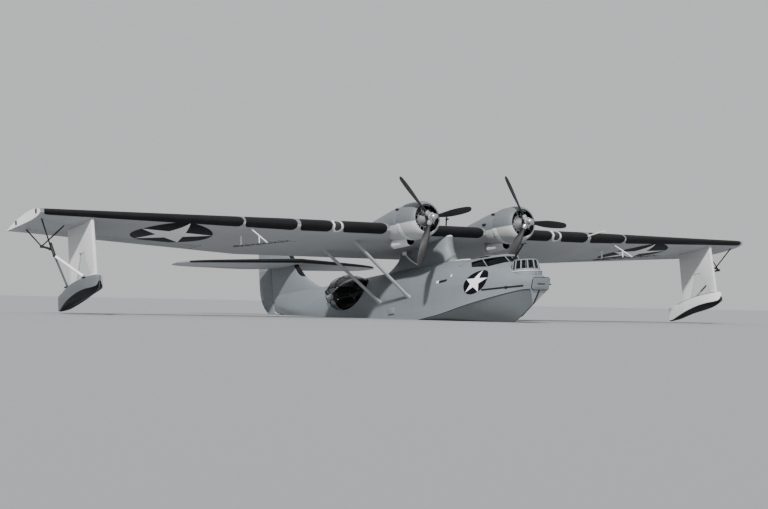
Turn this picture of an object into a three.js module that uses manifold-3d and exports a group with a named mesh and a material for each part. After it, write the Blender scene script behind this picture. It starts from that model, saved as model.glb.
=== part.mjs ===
// A twin-engined patrol flying boat afloat, planing nose-up, with a parasol wing on a pylon.
// Millimetres, +Z up, nose towards -Y, port side towards +X. The origin lies on the waterline plane.
// The aircraft is laid out in hull axes (y aft from the bow tip, z up from the keel at the main step),
// inside one group that is turned by the planing trim.

import * as THREE from 'three';
import { mergeVertices } from 'three/addons/utils/BufferGeometryUtils.js';
import Module from 'manifold-3d';

const wasm = await Module();
wasm.setup();

const deg = THREE.MathUtils.degToRad;

// Planing attitude: the hull turns about STATION_AFLOAT, where its keel is DRAUGHT under the waterline
const TRIM = deg( 6.333 );
const STATION_AFLOAT = 8000;
const DRAUGHT = 954;

// Gap between touching pieces, and the clearance of moving ones
const GAP = 0.5;
const CLEAR = 8;

// Wing
const INCIDENCE = deg( 6.5 );
const WING_CAMBER = 0.018;
const CENTRE_HALF_SPAN = 6500;
const TIP_RIB = 15450;
const AILERON_IN = 8400;
const AILERON_OUT = 14950;
const HINGE_CHORD = 0.8;
const BOAT_TAIL = 0.003;
const WING_ROOT = { leY: 5520, leZ: 3930, chord: 4440, thick: 0.15 };
const WING_TIP = { leY: 6660, leZ: 4150, chord: 2720, thick: 0.12 };

// Engines
const ENGINE_X = 2105;
const THRUST_Z = 4090;
const PROP_Y = 3850;
const PROP_RADIUS = 1830;
const BLADES = 3;
const COWL_LIP_Y = 4040;
const CYLINDERS_PER_ROW = 7;

// Hull openings
const TURRET = { y: 1330, base: 2050, top: 2370, foot: 488, crown: 420, drum: 440, wall: 28, well: 475, skirt: 535, floor: 1480 };
const COCKPIT_FLOOR = 1500;
const BLISTER = { x: 1150, y: 10680, z: 2180, length: 1290, radius: 670 };
const WAIST = { half: 1000, front: 9800, rear: 11900, floor: 1280, roof: 2560 };

// Tail
const FIN_HINGE = 18150;
const TAIL_HINGE = 17750;
const TAIL_Z = 4050;

// Wing floats
const FLOAT_X = 13610;
const PANEL_X = 13600;
const PANEL_THICK = 110;
const KNEE = { outer: [ 14955, 7670, 3125 ], inner: [ 14640, 7700, 3060 ], top: [ 14630, 7700, 3250 ], foot: [ 14560, 7550, 2820 ] };

const finishes = {
	topside: { color: 0x5d666e, roughness: 0.6, metalness: 0.1 },
	underside: { color: 0xa9adb0, roughness: 0.6, metalness: 0.1 },
	fabric: { color: 0x646c73, roughness: 0.85, metalness: 0 },
	white: { color: 0xdadbda, roughness: 0.5, metalness: 0 },
	steel: { color: 0x4b4e52, roughness: 0.45, metalness: 0.8 },
	blade: { color: 0x1b1c1e, roughness: 0.5, metalness: 0.3 },
	glass: { color: 0x9fb0b5, roughness: 0.05, metalness: 0, transparent: true, opacity: 0.35 },
	cabin: { color: 0x3f4a3c, roughness: 0.8, metalness: 0 },
	gunmetal: { color: 0x2a2c2e, roughness: 0.4, metalness: 0.8 }
};

const boat = new THREE.Group();
boat.position.set( 0, - STATION_AFLOAT, 0 ).applyAxisAngle( new THREE.Vector3( 1, 0, 0 ), - TRIM );
boat.position.z -= DRAUGHT;
boat.rotation.x = - TRIM;

// Solids and meshes

function closed( geometry ) {

	const bare = new THREE.BufferGeometry();
	bare.setAttribute( 'position', geometry.getAttribute( 'position' ).clone() );
	if ( geometry.index ) bare.setIndex( geometry.index.clone() );
	const merged = mergeVertices( bare, 0.001 );
	const at = merged.getAttribute( 'position' );
	const index = merged.index.array;
	const [ a, b, c ] = [ new THREE.Vector3(), new THREE.Vector3(), new THREE.Vector3() ];
	const kept = [];
	let volume = 0;
	for ( let i = 0; i < index.length; i += 3 ) {

		if ( index[ i ] === index[ i + 1 ] || index[ i + 1 ] === index[ i + 2 ] || index[ i ] === index[ i + 2 ] ) continue;
		kept.push( index[ i ], index[ i + 1 ], index[ i + 2 ] );
		a.fromBufferAttribute( at, index[ i ] );
		b.fromBufferAttribute( at, index[ i + 1 ] );
		c.fromBufferAttribute( at, index[ i + 2 ] );
		volume += a.dot( b.cross( c ) );

	}
	if ( volume < 0 ) kept.reverse();
	merged.setIndex( kept );
	return merged;

}

function solid( geometry ) {

	const whole = closed( geometry );
	return new wasm.Manifold( new wasm.Mesh( {
		numProp: 3,
		vertProperties: new Float32Array( whole.getAttribute( 'position' ).array ),
		triVerts: new Uint32Array( whole.index.array )
	} ) );

}

function largest( body ) {

	const pieces = body.decompose();
	return pieces.reduce( ( best, piece ) => ( piece.volume() > best.volume() ? piece : best ) );

}

function geometryOf( body ) {

	const { vertProperties, triVerts } = body.getMesh();
	const geometry = new THREE.BufferGeometry();
	geometry.setAttribute( 'position', new THREE.BufferAttribute( new Float32Array( vertProperties ), 3 ) );
	geometry.setIndex( new THREE.BufferAttribute( new Uint32Array( triVerts ), 1 ) );
	geometry.computeVertexNormals();
	return geometry;

}

const union = ( first, ...rest ) => rest.reduce( ( sum, body ) => sum.add( body ), first );
const cut = ( first, ...tools ) => tools.reduce( ( left, tool ) => left.subtract( tool ), first );

function place( name, body, finish ) {

	const mesh = new THREE.Mesh( geometryOf( largest( body ) ), new THREE.MeshStandardMaterial( finishes[ finish ] ) );
	mesh.name = name;
	boat.add( mesh );

}

// Shapes

function loft( rings ) {

	const count = rings[ 0 ].length;
	const positions = rings.flat().flatMap( ( p ) => [ p.x, p.y, p.z ] );
	const index = [];
	for ( let r = 0; r < rings.length - 1; r ++ ) {

		for ( let i = 0; i < count; i ++ ) {

			const [ a, b ] = [ r * count + i, r * count + ( i + 1 ) % count ];
			index.push( a, b, a + count, b, b + count, a + count );

		}

	}
	for ( const [ ring, start, back ] of [ [ rings[ 0 ], 0, true ], [ rings.at( - 1 ), ( rings.length - 1 ) * count, false ] ] ) {

		for ( const [ i, j, k ] of capOf( ring ) ) {

			index.push( ...( back ? [ start + k, start + j, start + i ] : [ start + i, start + j, start + k ] ) );

		}

	}
	const geometry = new THREE.BufferGeometry();
	geometry.setAttribute( 'position', new THREE.Float32BufferAttribute( positions, 3 ) );
	geometry.setIndex( index );
	return solid( geometry );

}

function capOf( ring ) {

	const normal = new THREE.Vector3();
	ring.forEach( ( p, i ) => normal.add( new THREE.Vector3().crossVectors( p, ring[ ( i + 1 ) % ring.length ] ) ) );
	normal.normalize();
	const along = new THREE.Vector3( ...( Math.abs( normal.x ) > 0.9 ? [ 0, 1, 0 ] : [ 1, 0, 0 ] ) ).projectOnPlane( normal ).normalize();
	const across = new THREE.Vector3().crossVectors( normal, along );
	const flat = ring.map( ( p ) => new THREE.Vector2( p.dot( along ), p.dot( across ) ) );
	return THREE.ShapeUtils.triangulateShape( flat, [] );

}

function box( width, depth, height, x, y, z ) {

	return solid( new THREE.BoxGeometry( width, depth, height ).translate( x, y, z ) );

}

// Body of revolution about a line along Y; the profile is a list of [ radius, y ]
function turnedAlongY( profile, x, z, sides = 20 ) {

	const points = profile.map( ( [ radius, y ] ) => new THREE.Vector2( radius, y ) );
	return solid( new THREE.LatheGeometry( points, sides ).translate( x, 0, z ) );

}

function turnedAlongZ( profile, x, y, sides = 20 ) {

	const points = profile.map( ( [ radius, z ] ) => new THREE.Vector2( radius, z ) );
	return solid( new THREE.LatheGeometry( points, sides ).rotateX( Math.PI / 2 ).translate( x, y, 0 ) );

}

// Straight member of elliptical section, its wide axis in the plane of the line and of Y
function member( from, to, wide, narrow, sides = 12 ) {

	const [ start, end ] = [ new THREE.Vector3( ...from ), new THREE.Vector3( ...to ) ];
	const line = end.clone().sub( start ).normalize();
	const chordwise = new THREE.Vector3( ...( Math.abs( line.y ) > 0.9 ? [ 0, 0, 1 ] : [ 0, 1, 0 ] ) ).projectOnPlane( line ).normalize();
	const sidewise = new THREE.Vector3().crossVectors( line, chordwise );
	const ring = ( centre ) => Array.from( { length: sides }, ( _, i ) => {

		const turn = ( i + 0.5 ) / sides * Math.PI * 2;
		return centre.clone()
			.addScaledVector( chordwise, Math.cos( turn ) * wide / 2 )
			.addScaledVector( sidewise, Math.sin( turn ) * narrow / 2 );

	} );
	return loft( [ ring( start ), ring( end ) ] );

}

// Value of a table column at a place along it, through a smooth curve
function blend( rows, key, at, column ) {

	const last = rows.length - 1;
	const found = rows.findIndex( ( row ) => row[ key ] > at );
	const i = Math.min( Math.max( ( found < 0 ? last : found ) - 1, 0 ), last - 1 );
	const [ a, b, c, d ] = [ rows[ Math.max( i - 1, 0 ) ], rows[ i ], rows[ i + 1 ], rows[ Math.min( i + 2, last ) ] ];
	const span = c[ key ] - b[ key ];
	const t = ( at - b[ key ] ) / span;
	const into = ( c[ column ] - a[ column ] ) / ( c[ key ] - a[ key ] ) * span;
	const out = ( d[ column ] - b[ column ] ) / ( d[ key ] - b[ key ] ) * span;
	return ( 2 * t ** 3 - 3 * t ** 2 + 1 ) * b[ column ] + ( t ** 3 - 2 * t ** 2 + t ) * into
		+ ( 3 * t ** 2 - 2 * t ** 3 ) * c[ column ] + ( t ** 3 - t ** 2 ) * out;

}

// Hull: each run of stations between two steps is smooth; round is the exponent of the deck's curve

const forebody = [
	{ y: 450, keel: 1120, chineX: 330, chineZ: 1300, sideX: 350, sideZ: 1460, deck: 1660, round: 2.6 },
	{ y: 620, keel: 1040, chineX: 370, chineZ: 1300, sideX: 395, sideZ: 1480, deck: 1740, round: 2.5 },
	{ y: 1000, keel: 835, chineX: 540, chineZ: 1260, sideX: 560, sideZ: 1540, deck: 1930, round: 2.3 },
	{ y: 1900, keel: 395, chineX: 950, chineZ: 1135, sideX: 930, sideZ: 1580, deck: 2330, round: 2 },
	{ y: 3000, keel: 170, chineX: 1330, chineZ: 955, sideX: 1260, sideZ: 1560, deck: 2560, round: 2 },
	{ y: 4600, keel: 50, chineX: 1530, chineZ: 760, sideX: 1450, sideZ: 1520, deck: 2760, round: 2.2 },
	{ y: 7900, keel: 0, chineX: 1550, chineZ: 620, sideX: 1480, sideZ: 1500, deck: 2800, round: 2.3 }
];

const afterbody = [
	{ y: 7900, keel: 150, chineX: 1540, chineZ: 720, sideX: 1480, sideZ: 1500, deck: 2800, round: 2.3 },
	{ y: 10200, keel: 350, chineX: 1390, chineZ: 850, sideX: 1400, sideZ: 1520, deck: 2800, round: 2.3 },
	{ y: 12400, keel: 590, chineX: 1130, chineZ: 1010, sideX: 1210, sideZ: 1600, deck: 2800, round: 2.2 }
];

const tailCone = [
	{ y: 12400, keel: 700, chineX: 1080, chineZ: 1080, sideX: 1210, sideZ: 1600, deck: 2800, round: 2.2 },
	{ y: 14200, keel: 1080, chineX: 780, chineZ: 1340, sideX: 940, sideZ: 1780, deck: 2810, round: 2 },
	{ y: 16200, keel: 1620, chineX: 400, chineZ: 1780, sideX: 540, sideZ: 2100, deck: 2840, round: 2 },
	{ y: 17950, keel: 2150, chineX: 60, chineZ: 2220, sideX: 90, sideZ: 2450, deck: 2880, round: 2 }
];

const DECK_STEPS = 7;

function hullRing( run, y, grow ) {

	const [ keel, chineX, chineZ, sideX, sideZ, deck, round ] =
		[ 'keel', 'chineX', 'chineZ', 'sideX', 'sideZ', 'deck', 'round' ].map( ( column ) => blend( run, 'y', y, column ) );
	const half = [ [ 0, keel ], [ chineX * 0.55, keel + ( chineZ - keel ) * 0.5 ], [ chineX, chineZ ] ];
	half.push( [ ( chineX + sideX ) / 2, ( chineZ + sideZ ) / 2 ] );
	for ( let i = 0; i <= DECK_STEPS; i ++ ) {

		const turn = i / DECK_STEPS * Math.PI / 2;
		half.push( [ sideX * Math.cos( turn ) ** ( 2 / round ), sideZ + ( deck - sideZ ) * Math.sin( turn ) ** ( 2 / round ) ] );

	}
	const mirrored = half.slice( 1, - 1 ).reverse().map( ( [ x, z ] ) => [ - x, z ] );
	const middle = new THREE.Vector2( 0, ( keel + deck ) / 2 );
	return [ ...half, ...mirrored ].map( ( [ x, z ] ) => {

		const out = new THREE.Vector2( x, z ).sub( middle ).normalize().multiplyScalar( grow );
		return new THREE.Vector3( x + out.x, y, z + out.y );

	} );

}

function hullRun( run, sections, grow ) {

	const [ from, to ] = [ run[ 0 ].y, run.at( - 1 ).y ];
	const rings = Array.from( { length: sections + 1 }, ( _, i ) => {

		const even = i / sections;
		const bowward = run === forebody ? even ** 1.7 : even;
		return hullRing( run, from + ( to - from ) * bowward, grow );

	} );
	rings[ 0 ].forEach( ( p ) => ( p.y -= grow ) );
	rings.at( - 1 ).forEach( ( p ) => ( p.y += grow ) );
	return loft( rings );

}

const hullShape = ( grow = 0 ) => union( hullRun( forebody, 15, grow ), hullRun( afterbody, 5, grow ), hullRun( tailCone, 6, grow ) );

// Blunt nose: the window's plane down to its foot, then a flat face down to the stem, each point [ y, z ]
const NOSE = { top: [ 480, 1660 ], foot: [ 620, 1300 ], stem: [ 980, 860 ] };

function aheadOfNose() {

	const beyond = ( [ y0, z0 ], [ y1, z1 ], z ) => [ y0 + ( y1 - y0 ) * ( z - z0 ) / ( z1 - z0 ), z ];
	const [ above, below ] = [ beyond( NOSE.foot, NOSE.top, 2400 ), beyond( NOSE.foot, NOSE.stem, - 500 ) ];
	const profile = [ [ - 1000, above[ 1 ] ], above, NOSE.foot, below, [ - 1000, below[ 1 ] ] ];
	return loft( [ - 1500, 1500 ].map( ( x ) => profile.map( ( [ y, z ] ) => new THREE.Vector3( x, y, z ) ) ) );

}

// Hull sections between the main frames, where the real skin is joined
const hullSections = [
	{ name: 'hull_bow', front: 300, rear: 1850 },
	{ name: 'hull_cockpit', front: 1850, rear: 4600 },
	{ name: 'hull_midships', front: 4600, rear: 9300 },
	{ name: 'hull_waist', front: 9300, rear: 12400 },
	{ name: 'hull_tail', front: 12400, rear: 18100 }
];

// Aerofoil: half thickness and camber as fractions of the chord

function halfThick( c, thick ) {

	return 5 * thick * ( 0.2969 * Math.sqrt( c ) - 0.126 * c - 0.3516 * c ** 2 + 0.2843 * c ** 3 - 0.1015 * c ** 4 ) + BOAT_TAIL * c;

}

const camber = ( c ) => WING_CAMBER * 4 * c * ( 1 - c );

function chordSteps( from, to, count ) {

	return Array.from( { length: count + 1 }, ( _, i ) => from + ( to - from ) * ( 1 - Math.cos( i / count * Math.PI / 2 ) ) );

}

function wingStation( x ) {

	const t = Math.max( 0, ( Math.abs( x ) - CENTRE_HALF_SPAN ) / ( TIP_RIB - CENTRE_HALF_SPAN ) );
	const mix = ( key ) => WING_ROOT[ key ] + ( WING_TIP[ key ] - WING_ROOT[ key ] ) * t;
	return { x, leY: mix( 'leY' ), leZ: mix( 'leZ' ), chord: mix( 'chord' ), thick: mix( 'thick' ) };

}

// Point of a wing section: along the chord and above it, in millimetres
function wingPoint( station, along, above ) {

	const y = station.leY + along * Math.cos( INCIDENCE ) + above * Math.sin( INCIDENCE );
	const z = station.leZ - along * Math.sin( INCIDENCE ) + above * Math.cos( INCIDENCE );
	return new THREE.Vector3( station.x, y, z );

}

function wingRing( x, grow = 0, steps = 10 ) {

	const station = wingStation( x );
	const fractions = chordSteps( 0, 1, steps );
	const side = ( c, sign ) => wingPoint( station, c * ( station.chord + 2 * grow ) - grow,
		camber( c ) * station.chord + sign * ( halfThick( c, station.thick ) * station.chord + grow ) );
	const lower = fractions.map( ( c ) => side( c, - 1 ) );
	const upper = fractions.slice( 1 ).reverse().map( ( c ) => side( c, 1 ) );
	if ( grow > 0 ) return [ ...lower, ...upper, side( 0, 1 ) ];
	return [ ...lower, ...upper ];

}

const wingCutter = loft( [ wingRing( - CENTRE_HALF_SPAN, GAP ), wingRing( CENTRE_HALF_SPAN, GAP ) ] );
const outerCutter = ( side ) => loft( [ wingRing( side * CENTRE_HALF_SPAN, GAP ), wingRing( side * TIP_RIB, GAP ) ] );

const hingePoint = ( x ) => {

	const station = wingStation( x );
	return wingPoint( station, HINGE_CHORD * station.chord, camber( HINGE_CHORD ) * station.chord );

};

function buildWing() {

	place( 'wing_centre', loft( [ wingRing( - CENTRE_HALF_SPAN + GAP ), wingRing( CENTRE_HALF_SPAN - GAP ) ] ), 'topside' );
	for ( const [ word, side ] of [ [ 'left', 1 ], [ 'right', - 1 ] ] ) {

		const panel = loft( [ wingRing( side * CENTRE_HALF_SPAN ), wingRing( side * TIP_RIB ) ] );
		const bay = loft( [ AILERON_IN - CLEAR, AILERON_OUT + CLEAR ].map( ( x ) => {

			const station = wingStation( side * x );
			const front = HINGE_CHORD * station.chord - aileronNose( station ) - CLEAR;
			const [ rear, high ] = [ station.chord * 1.1, station.chord * 0.12 ];
			return [ [ front, - high ], [ rear, - high ], [ rear, high ], [ front, high ] ]
				.map( ( [ along, above ] ) => wingPoint( station, along, above ) );

		} ) );
		place( `wing_outer_${ word }`, cut( panel, bay ), 'topside' );
		place( `aileron_${ word }`, loft( [ AILERON_IN, AILERON_OUT ].map( ( x ) => aileronRing( side * x ) ) ), 'fabric' );

	}

}

const aileronNose = ( station ) => halfThick( HINGE_CHORD, station.thick ) * station.chord;

const NOSE_STEPS = 6;

function aileronRing( x ) {

	const station = wingStation( x );
	const nose = aileronNose( station );
	const [ hingeAlong, hingeAbove ] = [ HINGE_CHORD * station.chord, camber( HINGE_CHORD ) * station.chord ];
	const points = [];
	for ( let i = 0; i <= NOSE_STEPS; i ++ ) {

		const turn = Math.PI / 2 + i / NOSE_STEPS * Math.PI;
		points.push( [ hingeAlong + nose * Math.cos( turn ), hingeAbove + nose * Math.sin( turn ) ] );

	}
	const tail = BOAT_TAIL * station.chord;
	points.push( [ station.chord, - tail ], [ station.chord, tail ] );
	return points.map( ( [ along, above ] ) => wingPoint( station, along, above ) );

}

// Tail surfaces: span is x or z, le, hinge and te are y; the section is symmetric

function fixedRing( { span, le, te, hinge, thick }, toPoint, grow = 0, steps = 7 ) {

	const chord = te - le;
	const end = ( hinge - le ) / chord;
	const fractions = chordSteps( 0, end, steps );
	const half = ( c ) => halfThick( c, thick ) * chord + grow;
	const lower = fractions.map( ( c ) => toPoint( span, le + c * chord - ( c === 0 ? grow : 0 ), - half( c ) * ( c === 0 && grow === 0 ? 0 : 1 ) ) );
	const upper = fractions.slice( 1 ).reverse().map( ( c ) => toPoint( span, le + c * chord, half( c ) ) );
	return [ ...lower, ...upper ];

}

function movingRing( { span, le, te, hinge, thick }, toPoint ) {

	const chord = te - le;
	const nose = halfThick( ( hinge - le ) / chord, thick ) * chord;
	const points = [];
	for ( let i = 0; i <= NOSE_STEPS; i ++ ) {

		const turn = Math.PI / 2 + i / NOSE_STEPS * Math.PI;
		points.push( toPoint( span, hinge + nose * Math.cos( turn ), nose * Math.sin( turn ) ) );

	}
	points.push( toPoint( span, te, - TAIL_EDGE ), toPoint( span, te, TAIL_EDGE ) );
	return points;

}

const TAIL_EDGE = 6;
const noseOf = ( { le, te, hinge, thick } ) => halfThick( ( hinge - le ) / ( te - le ), thick ) * ( te - le );

const finStations = [
	{ span: 2600, le: 13700, te: 19050, thick: 0.045 },
	{ span: 2820, le: 14400, te: 19150, thick: 0.055 },
	{ span: 3000, le: 14880, te: 19200, thick: 0.065 },
	{ span: 3400, le: 15600, te: 19240, thick: 0.08 },
	{ span: 4360, le: 16540, te: 19250, thick: 0.09 },
	{ span: 5100, le: 17200, te: 19120, thick: 0.09 },
	{ span: 5500, le: 17600, te: 18880, thick: 0.09 },
	{ span: 5720, le: 17990, te: 18480, thick: 0.08 }
].map( ( row ) => ( { ...row, hinge: FIN_HINGE } ) );

const rudderFoot = { span: 2080, le: 16500, te: 18450, thick: 0.06, hinge: FIN_HINGE };
const rudderLow = { span: 2300, le: 15400, te: 18800, thick: 0.055, hinge: FIN_HINGE };

const tailStations = [
	{ span: 100, le: 15800, te: 19030, thick: 0.09 },
	{ span: 1300, le: 16130, te: 19010, thick: 0.09 },
	{ span: 3400, le: 16760, te: 18800, thick: 0.09 },
	{ span: 4150, le: 17080, te: 18620, thick: 0.09 },
	{ span: 4480, le: 17340, te: 18440, thick: 0.09 },
	{ span: 4650, le: 17620, te: 18190, thick: 0.08 }
].map( ( row ) => ( { ...row, hinge: TAIL_HINGE } ) );

const RUDDER_CUT = { inner: 190, outer: 860 };

const upright = ( span, along, across ) => new THREE.Vector3( across, along, span );
const level = ( side ) => ( span, along, across ) => new THREE.Vector3( side * span, along, TAIL_Z + across );

function buildTail() {

	const behindSpar = ( row ) => ( { ...row, hinge: row.hinge - noseOf( row ) - CLEAR } );
	const hull = hullShape( GAP );
	const fin = loft( finStations.map( behindSpar ).map( ( row ) => fixedRing( row, upright ) ) );
	const finCutter = loft( finStations.map( behindSpar ).map( ( row ) => fixedRing( row, upright, GAP ) ) );
	place( 'fin', cut( fin, hull ), 'topside' );
	const rudderRows = [ rudderFoot, rudderLow, ...finStations ];
	place( 'rudder', loft( rudderRows.map( ( row ) => movingRing( row, upright ) ) ), 'fabric' );
	for ( const [ word, side ] of [ [ 'left', 1 ], [ 'right', - 1 ] ] ) {

		const plane = level( side );
		const root = { ...tailStations[ 0 ], span: 0 };
		const fixed = [ root, ...tailStations ].map( behindSpar ).map( ( row ) => fixedRing( row, plane ) );
		place( `stabilizer_${ word }`, cut( loft( fixed ), finCutter ), 'topside' );
		const elevator = loft( tailStations.map( ( row ) => movingRing( row, plane ) ) );
		const swing = loft( [ TAIL_Z - 400, TAIL_Z + 400 ].map( ( z ) => [
			[ - 50, TAIL_HINGE - 500 ], [ RUDDER_CUT.inner, TAIL_HINGE - 500 ], [ RUDDER_CUT.inner, FIN_HINGE - 20 ],
			[ RUDDER_CUT.outer, FIN_HINGE + 1300 ], [ - 50, FIN_HINGE + 1300 ]
		].map( ( [ x, y ] ) => new THREE.Vector3( side * x, y, z ) ) ) );
		place( `elevator_${ word }`, cut( elevator, swing ), 'fabric' );

	}

}

// Canopy: half outlines of the sill and of the roof edge, from the centre of the windscreen aft
const canopyOutline = [
	{ sillX: 0, sillY: 1900, roofX: 0, roofY: 2090, roofZ: 2600 },
	{ sillX: 350, sillY: 1950, roofX: 290, roofY: 2110, roofZ: 2600 },
	{ sillX: 690, sillY: 2400, roofX: 500, roofY: 2480, roofZ: 2590 },
	{ sillX: 880, sillY: 3050, roofX: 600, roofY: 3080, roofZ: 2580 },
	{ sillX: 950, sillY: 3900, roofX: 640, roofY: 3900, roofZ: 2590 }
];
const CANOPY = { foot: 2140, sill: 2270, crown: 2690, wall: 28, glassFoot: 2180, glassTop: 2565 };

function canopyRings( inset ) {

	const whole = ( row, xKey, yKey, z, lean ) => [
		...row.map( ( p ) => [ p[ xKey ], p[ yKey ], z( p ), 1 ] ),
		...row.slice( 1 ).reverse().map( ( p ) => [ - p[ xKey ], p[ yKey ], z( p ), 1 ] )
	].map( ( [ x, y, height ] ) => {

		const centre = new THREE.Vector2( 0, lean );
		const out = new THREE.Vector2( x, y ).sub( centre );
		const scale = Math.max( 0, 1 - inset / Math.min( out.length(), 900 ) );
		return new THREE.Vector3( x * scale, lean + ( y - lean ) * scale, height );

	} );
	const foot = whole( canopyOutline, 'sillX', 'sillY', () => CANOPY.foot - ( inset > 0 ? 50 : 0 ), 3000 );
	const sill = whole( canopyOutline, 'sillX', 'sillY', ( p ) => CANOPY.sill + Math.max( 0, 2600 - p.sillY ) * 0.14, 3000 );
	const roof = whole( canopyOutline, 'roofX', 'roofY', ( p ) => p.roofZ - inset, 3000 );
	const crown = roof.map( ( p ) => new THREE.Vector3( p.x * 0.45, 3000 + ( p.y - 3000 ) * 0.75, CANOPY.crown - inset ) );
	return [ foot, sill, roof, crown ];

}

// Windows: each lies between two places of the outline, t runs from the sill to the roof edge
const canopyWindows = [
	{ from: 0.08, to: 0.94, low: 0.14, high: 0.9 },
	{ from: 1.1, to: 1.92, low: 0.1, high: 0.9 },
	{ from: 2.06, to: 2.92, low: 0.1, high: 0.9 },
	{ from: 3.1, to: 3.86, low: 0.14, high: 0.88 }
];
const WINDOW_REACH = 140;

function windowHole( { from, to, low, high }, side ) {

	const [ , sill, roof ] = canopyRings( 0 );
	const at = ( place, t ) => {

		const i = Math.min( Math.floor( place ), canopyOutline.length - 2 );
		const edge = ( ring ) => ring[ i ].clone().lerp( ring[ i + 1 ], place - i );
		const point = edge( sill ).lerp( edge( roof ), t );
		return new THREE.Vector3( side * point.x, point.y, point.z );

	};
	const corners = [ [ from, low ], [ to, low ], [ to, high ], [ from, high ] ].map( ( [ place, t ] ) => at( place, t ) );
	const normal = new THREE.Vector3()
		.crossVectors( corners[ 1 ].clone().sub( corners[ 0 ] ), corners[ 3 ].clone().sub( corners[ 0 ] ) ).setLength( WINDOW_REACH );
	return loft( [ - 1, 1 ].map( ( way ) => corners.map( ( p ) => p.clone().addScaledVector( normal, way ) ) ) );

}

function buildCockpit() {

	const shell = cut( loft( canopyRings( 0 ) ), loft( canopyRings( CANOPY.wall ) ) );
	const holes = [ 1, - 1 ].flatMap( ( side ) => canopyWindows.map( ( row ) => windowHole( row, side ) ) );
	place( 'canopy_frame', cut( shell, ...holes ), 'topside' );
	const glazing = cut( loft( canopyRings( CANOPY.wall + 3 ) ), loft( canopyRings( CANOPY.wall + 11 ) ) );
	const band = box( 2400, 2600, CANOPY.glassTop - CANOPY.glassFoot, 0, 2900, ( CANOPY.glassTop + CANOPY.glassFoot ) / 2 );
	place( 'canopy_glass', glazing.intersect( band ), 'glass' );

	const floor = box( 1150, 1400, 24, 0, 3120, COCKPIT_FLOOR + 14 );
	const seats = [ 330, - 330 ].flatMap( ( x ) => [
		box( 90, 380, 260, x, 3120, COCKPIT_FLOOR + 150 ), box( 430, 430, 70, x, 3120, COCKPIT_FLOOR + 310 ),
		box( 430, 70, 560, x, 3320, COCKPIT_FLOOR + 580 )
	] );
	place( 'pilots_seats', union( floor, ...seats ), 'cabin' );
	const board = box( 1000, 60, 420, 0, 2330, COCKPIT_FLOOR + 520 );
	const legs = [ 380, - 380 ].map( ( x ) => box( 60, 50, 320, x, 2330, COCKPIT_FLOOR + 165 ) );
	const yokes = [ 330, - 330 ].flatMap( ( x ) => [
		solid( new THREE.CylinderGeometry( 22, 22, 320, 8 ).translate( x, 2500, COCKPIT_FLOOR + 560 ) ),
		solid( new THREE.TorusGeometry( 150, 16, 5, 12 ).rotateX( Math.PI / 2 ).translate( x, 2650, COCKPIT_FLOOR + 560 ) ),
		box( 300, 24, 30, x, 2650, COCKPIT_FLOOR + 560 )
	] );
	place( 'instrument_panel', union( board, ...legs, ...yokes ), 'cabin' );

}

// Bow turret: a glazed cone on a ring, under a domed cap

const TURRET_POSTS = 12;

function buildTurret() {

	const { y, base, top, foot, crown, drum, wall } = TURRET;
	const low = base + CLEAR;
	const sill = low + 42;
	const cone = turnedAlongZ( [
		[ drum - wall, base - 120 ], [ drum, base - 120 ], [ drum, low ], [ foot, low ], [ foot - 10, sill ],
		[ crown, top - 10 ], [ crown - 20, top + 22 ], [ crown / 2, top + 36 ], [ 0, top + 40 ], [ 0, top + 18 ], [ crown / 2, top + 14 ],
		[ crown - 40, top - 2 ], [ crown - wall, top - 15 ], [ foot - 10 - wall, sill ], [ drum - wall, sill - 20 ], [ drum - wall, base - 120 ]
	], 0, y, 24 );
	const bays = Array.from( { length: TURRET_POSTS }, ( _, i ) => {

		const turn = ( i + 0.5 ) / TURRET_POSTS * Math.PI * 2;
		const wide = 2 * Math.PI * ( foot + crown ) / 2 / TURRET_POSTS - 50;
		const bay = new THREE.BoxGeometry( wide, 200, top - sill - 28 );
		bay.translate( 0, - ( foot + crown ) / 2, ( top + sill ) / 2 ).rotateZ( turn ).translate( 0, y, 0 );
		return solid( bay );

	} );
	place( 'turret_frame', cut( cone, ...bays ), 'topside' );
	const [ wide, narrow ] = [ foot - wall - 18, crown - wall - 4 ];
	place( 'turret_glass', turnedAlongZ( [
		[ wide - 8, sill + 6 ], [ wide, sill + 6 ], [ narrow, top - 20 ], [ narrow - 8, top - 20 ], [ wide - 8, sill + 6 ]
	], 0, y, 24 ), 'glass' );

}

// Waist blisters: shells turned about a line along Y, the lower sector slides up inside the upper one

const BLISTER_STEPS = 10;

function blisterProfile( radius ) {

	return Array.from( { length: BLISTER_STEPS + 1 }, ( _, i ) => {

		const turn = i / BLISTER_STEPS * Math.PI;
		const long = BLISTER.length - ( BLISTER.radius - radius );
		return [ radius * Math.sin( turn ) ** 0.85, BLISTER.y - long * Math.cos( turn ) ];

	} );

}

function blisterBody( side, radius ) {

	return turnedAlongY( blisterProfile( radius ), side * BLISTER.x, BLISTER.z, 28 );

}

// Shell sector between two angles up from the outboard direction
function blisterShell( side, radius, wall, from, to, steps ) {

	const [ outer, inner ] = [ blisterProfile( radius ).slice( 1, - 1 ), blisterProfile( radius - wall ).slice( 1, - 1 ) ];
	const section = [ ...outer, ...inner.reverse() ];
	return loft( Array.from( { length: steps + 1 }, ( _, i ) => {

		const turn = deg( from + ( to - from ) * i / steps );
		return section.map( ( [ r, y ] ) => new THREE.Vector3(
			side * ( BLISTER.x + r * Math.cos( turn ) ), y, BLISTER.z + r * Math.sin( turn ) ) );

	} ) );

}

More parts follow.
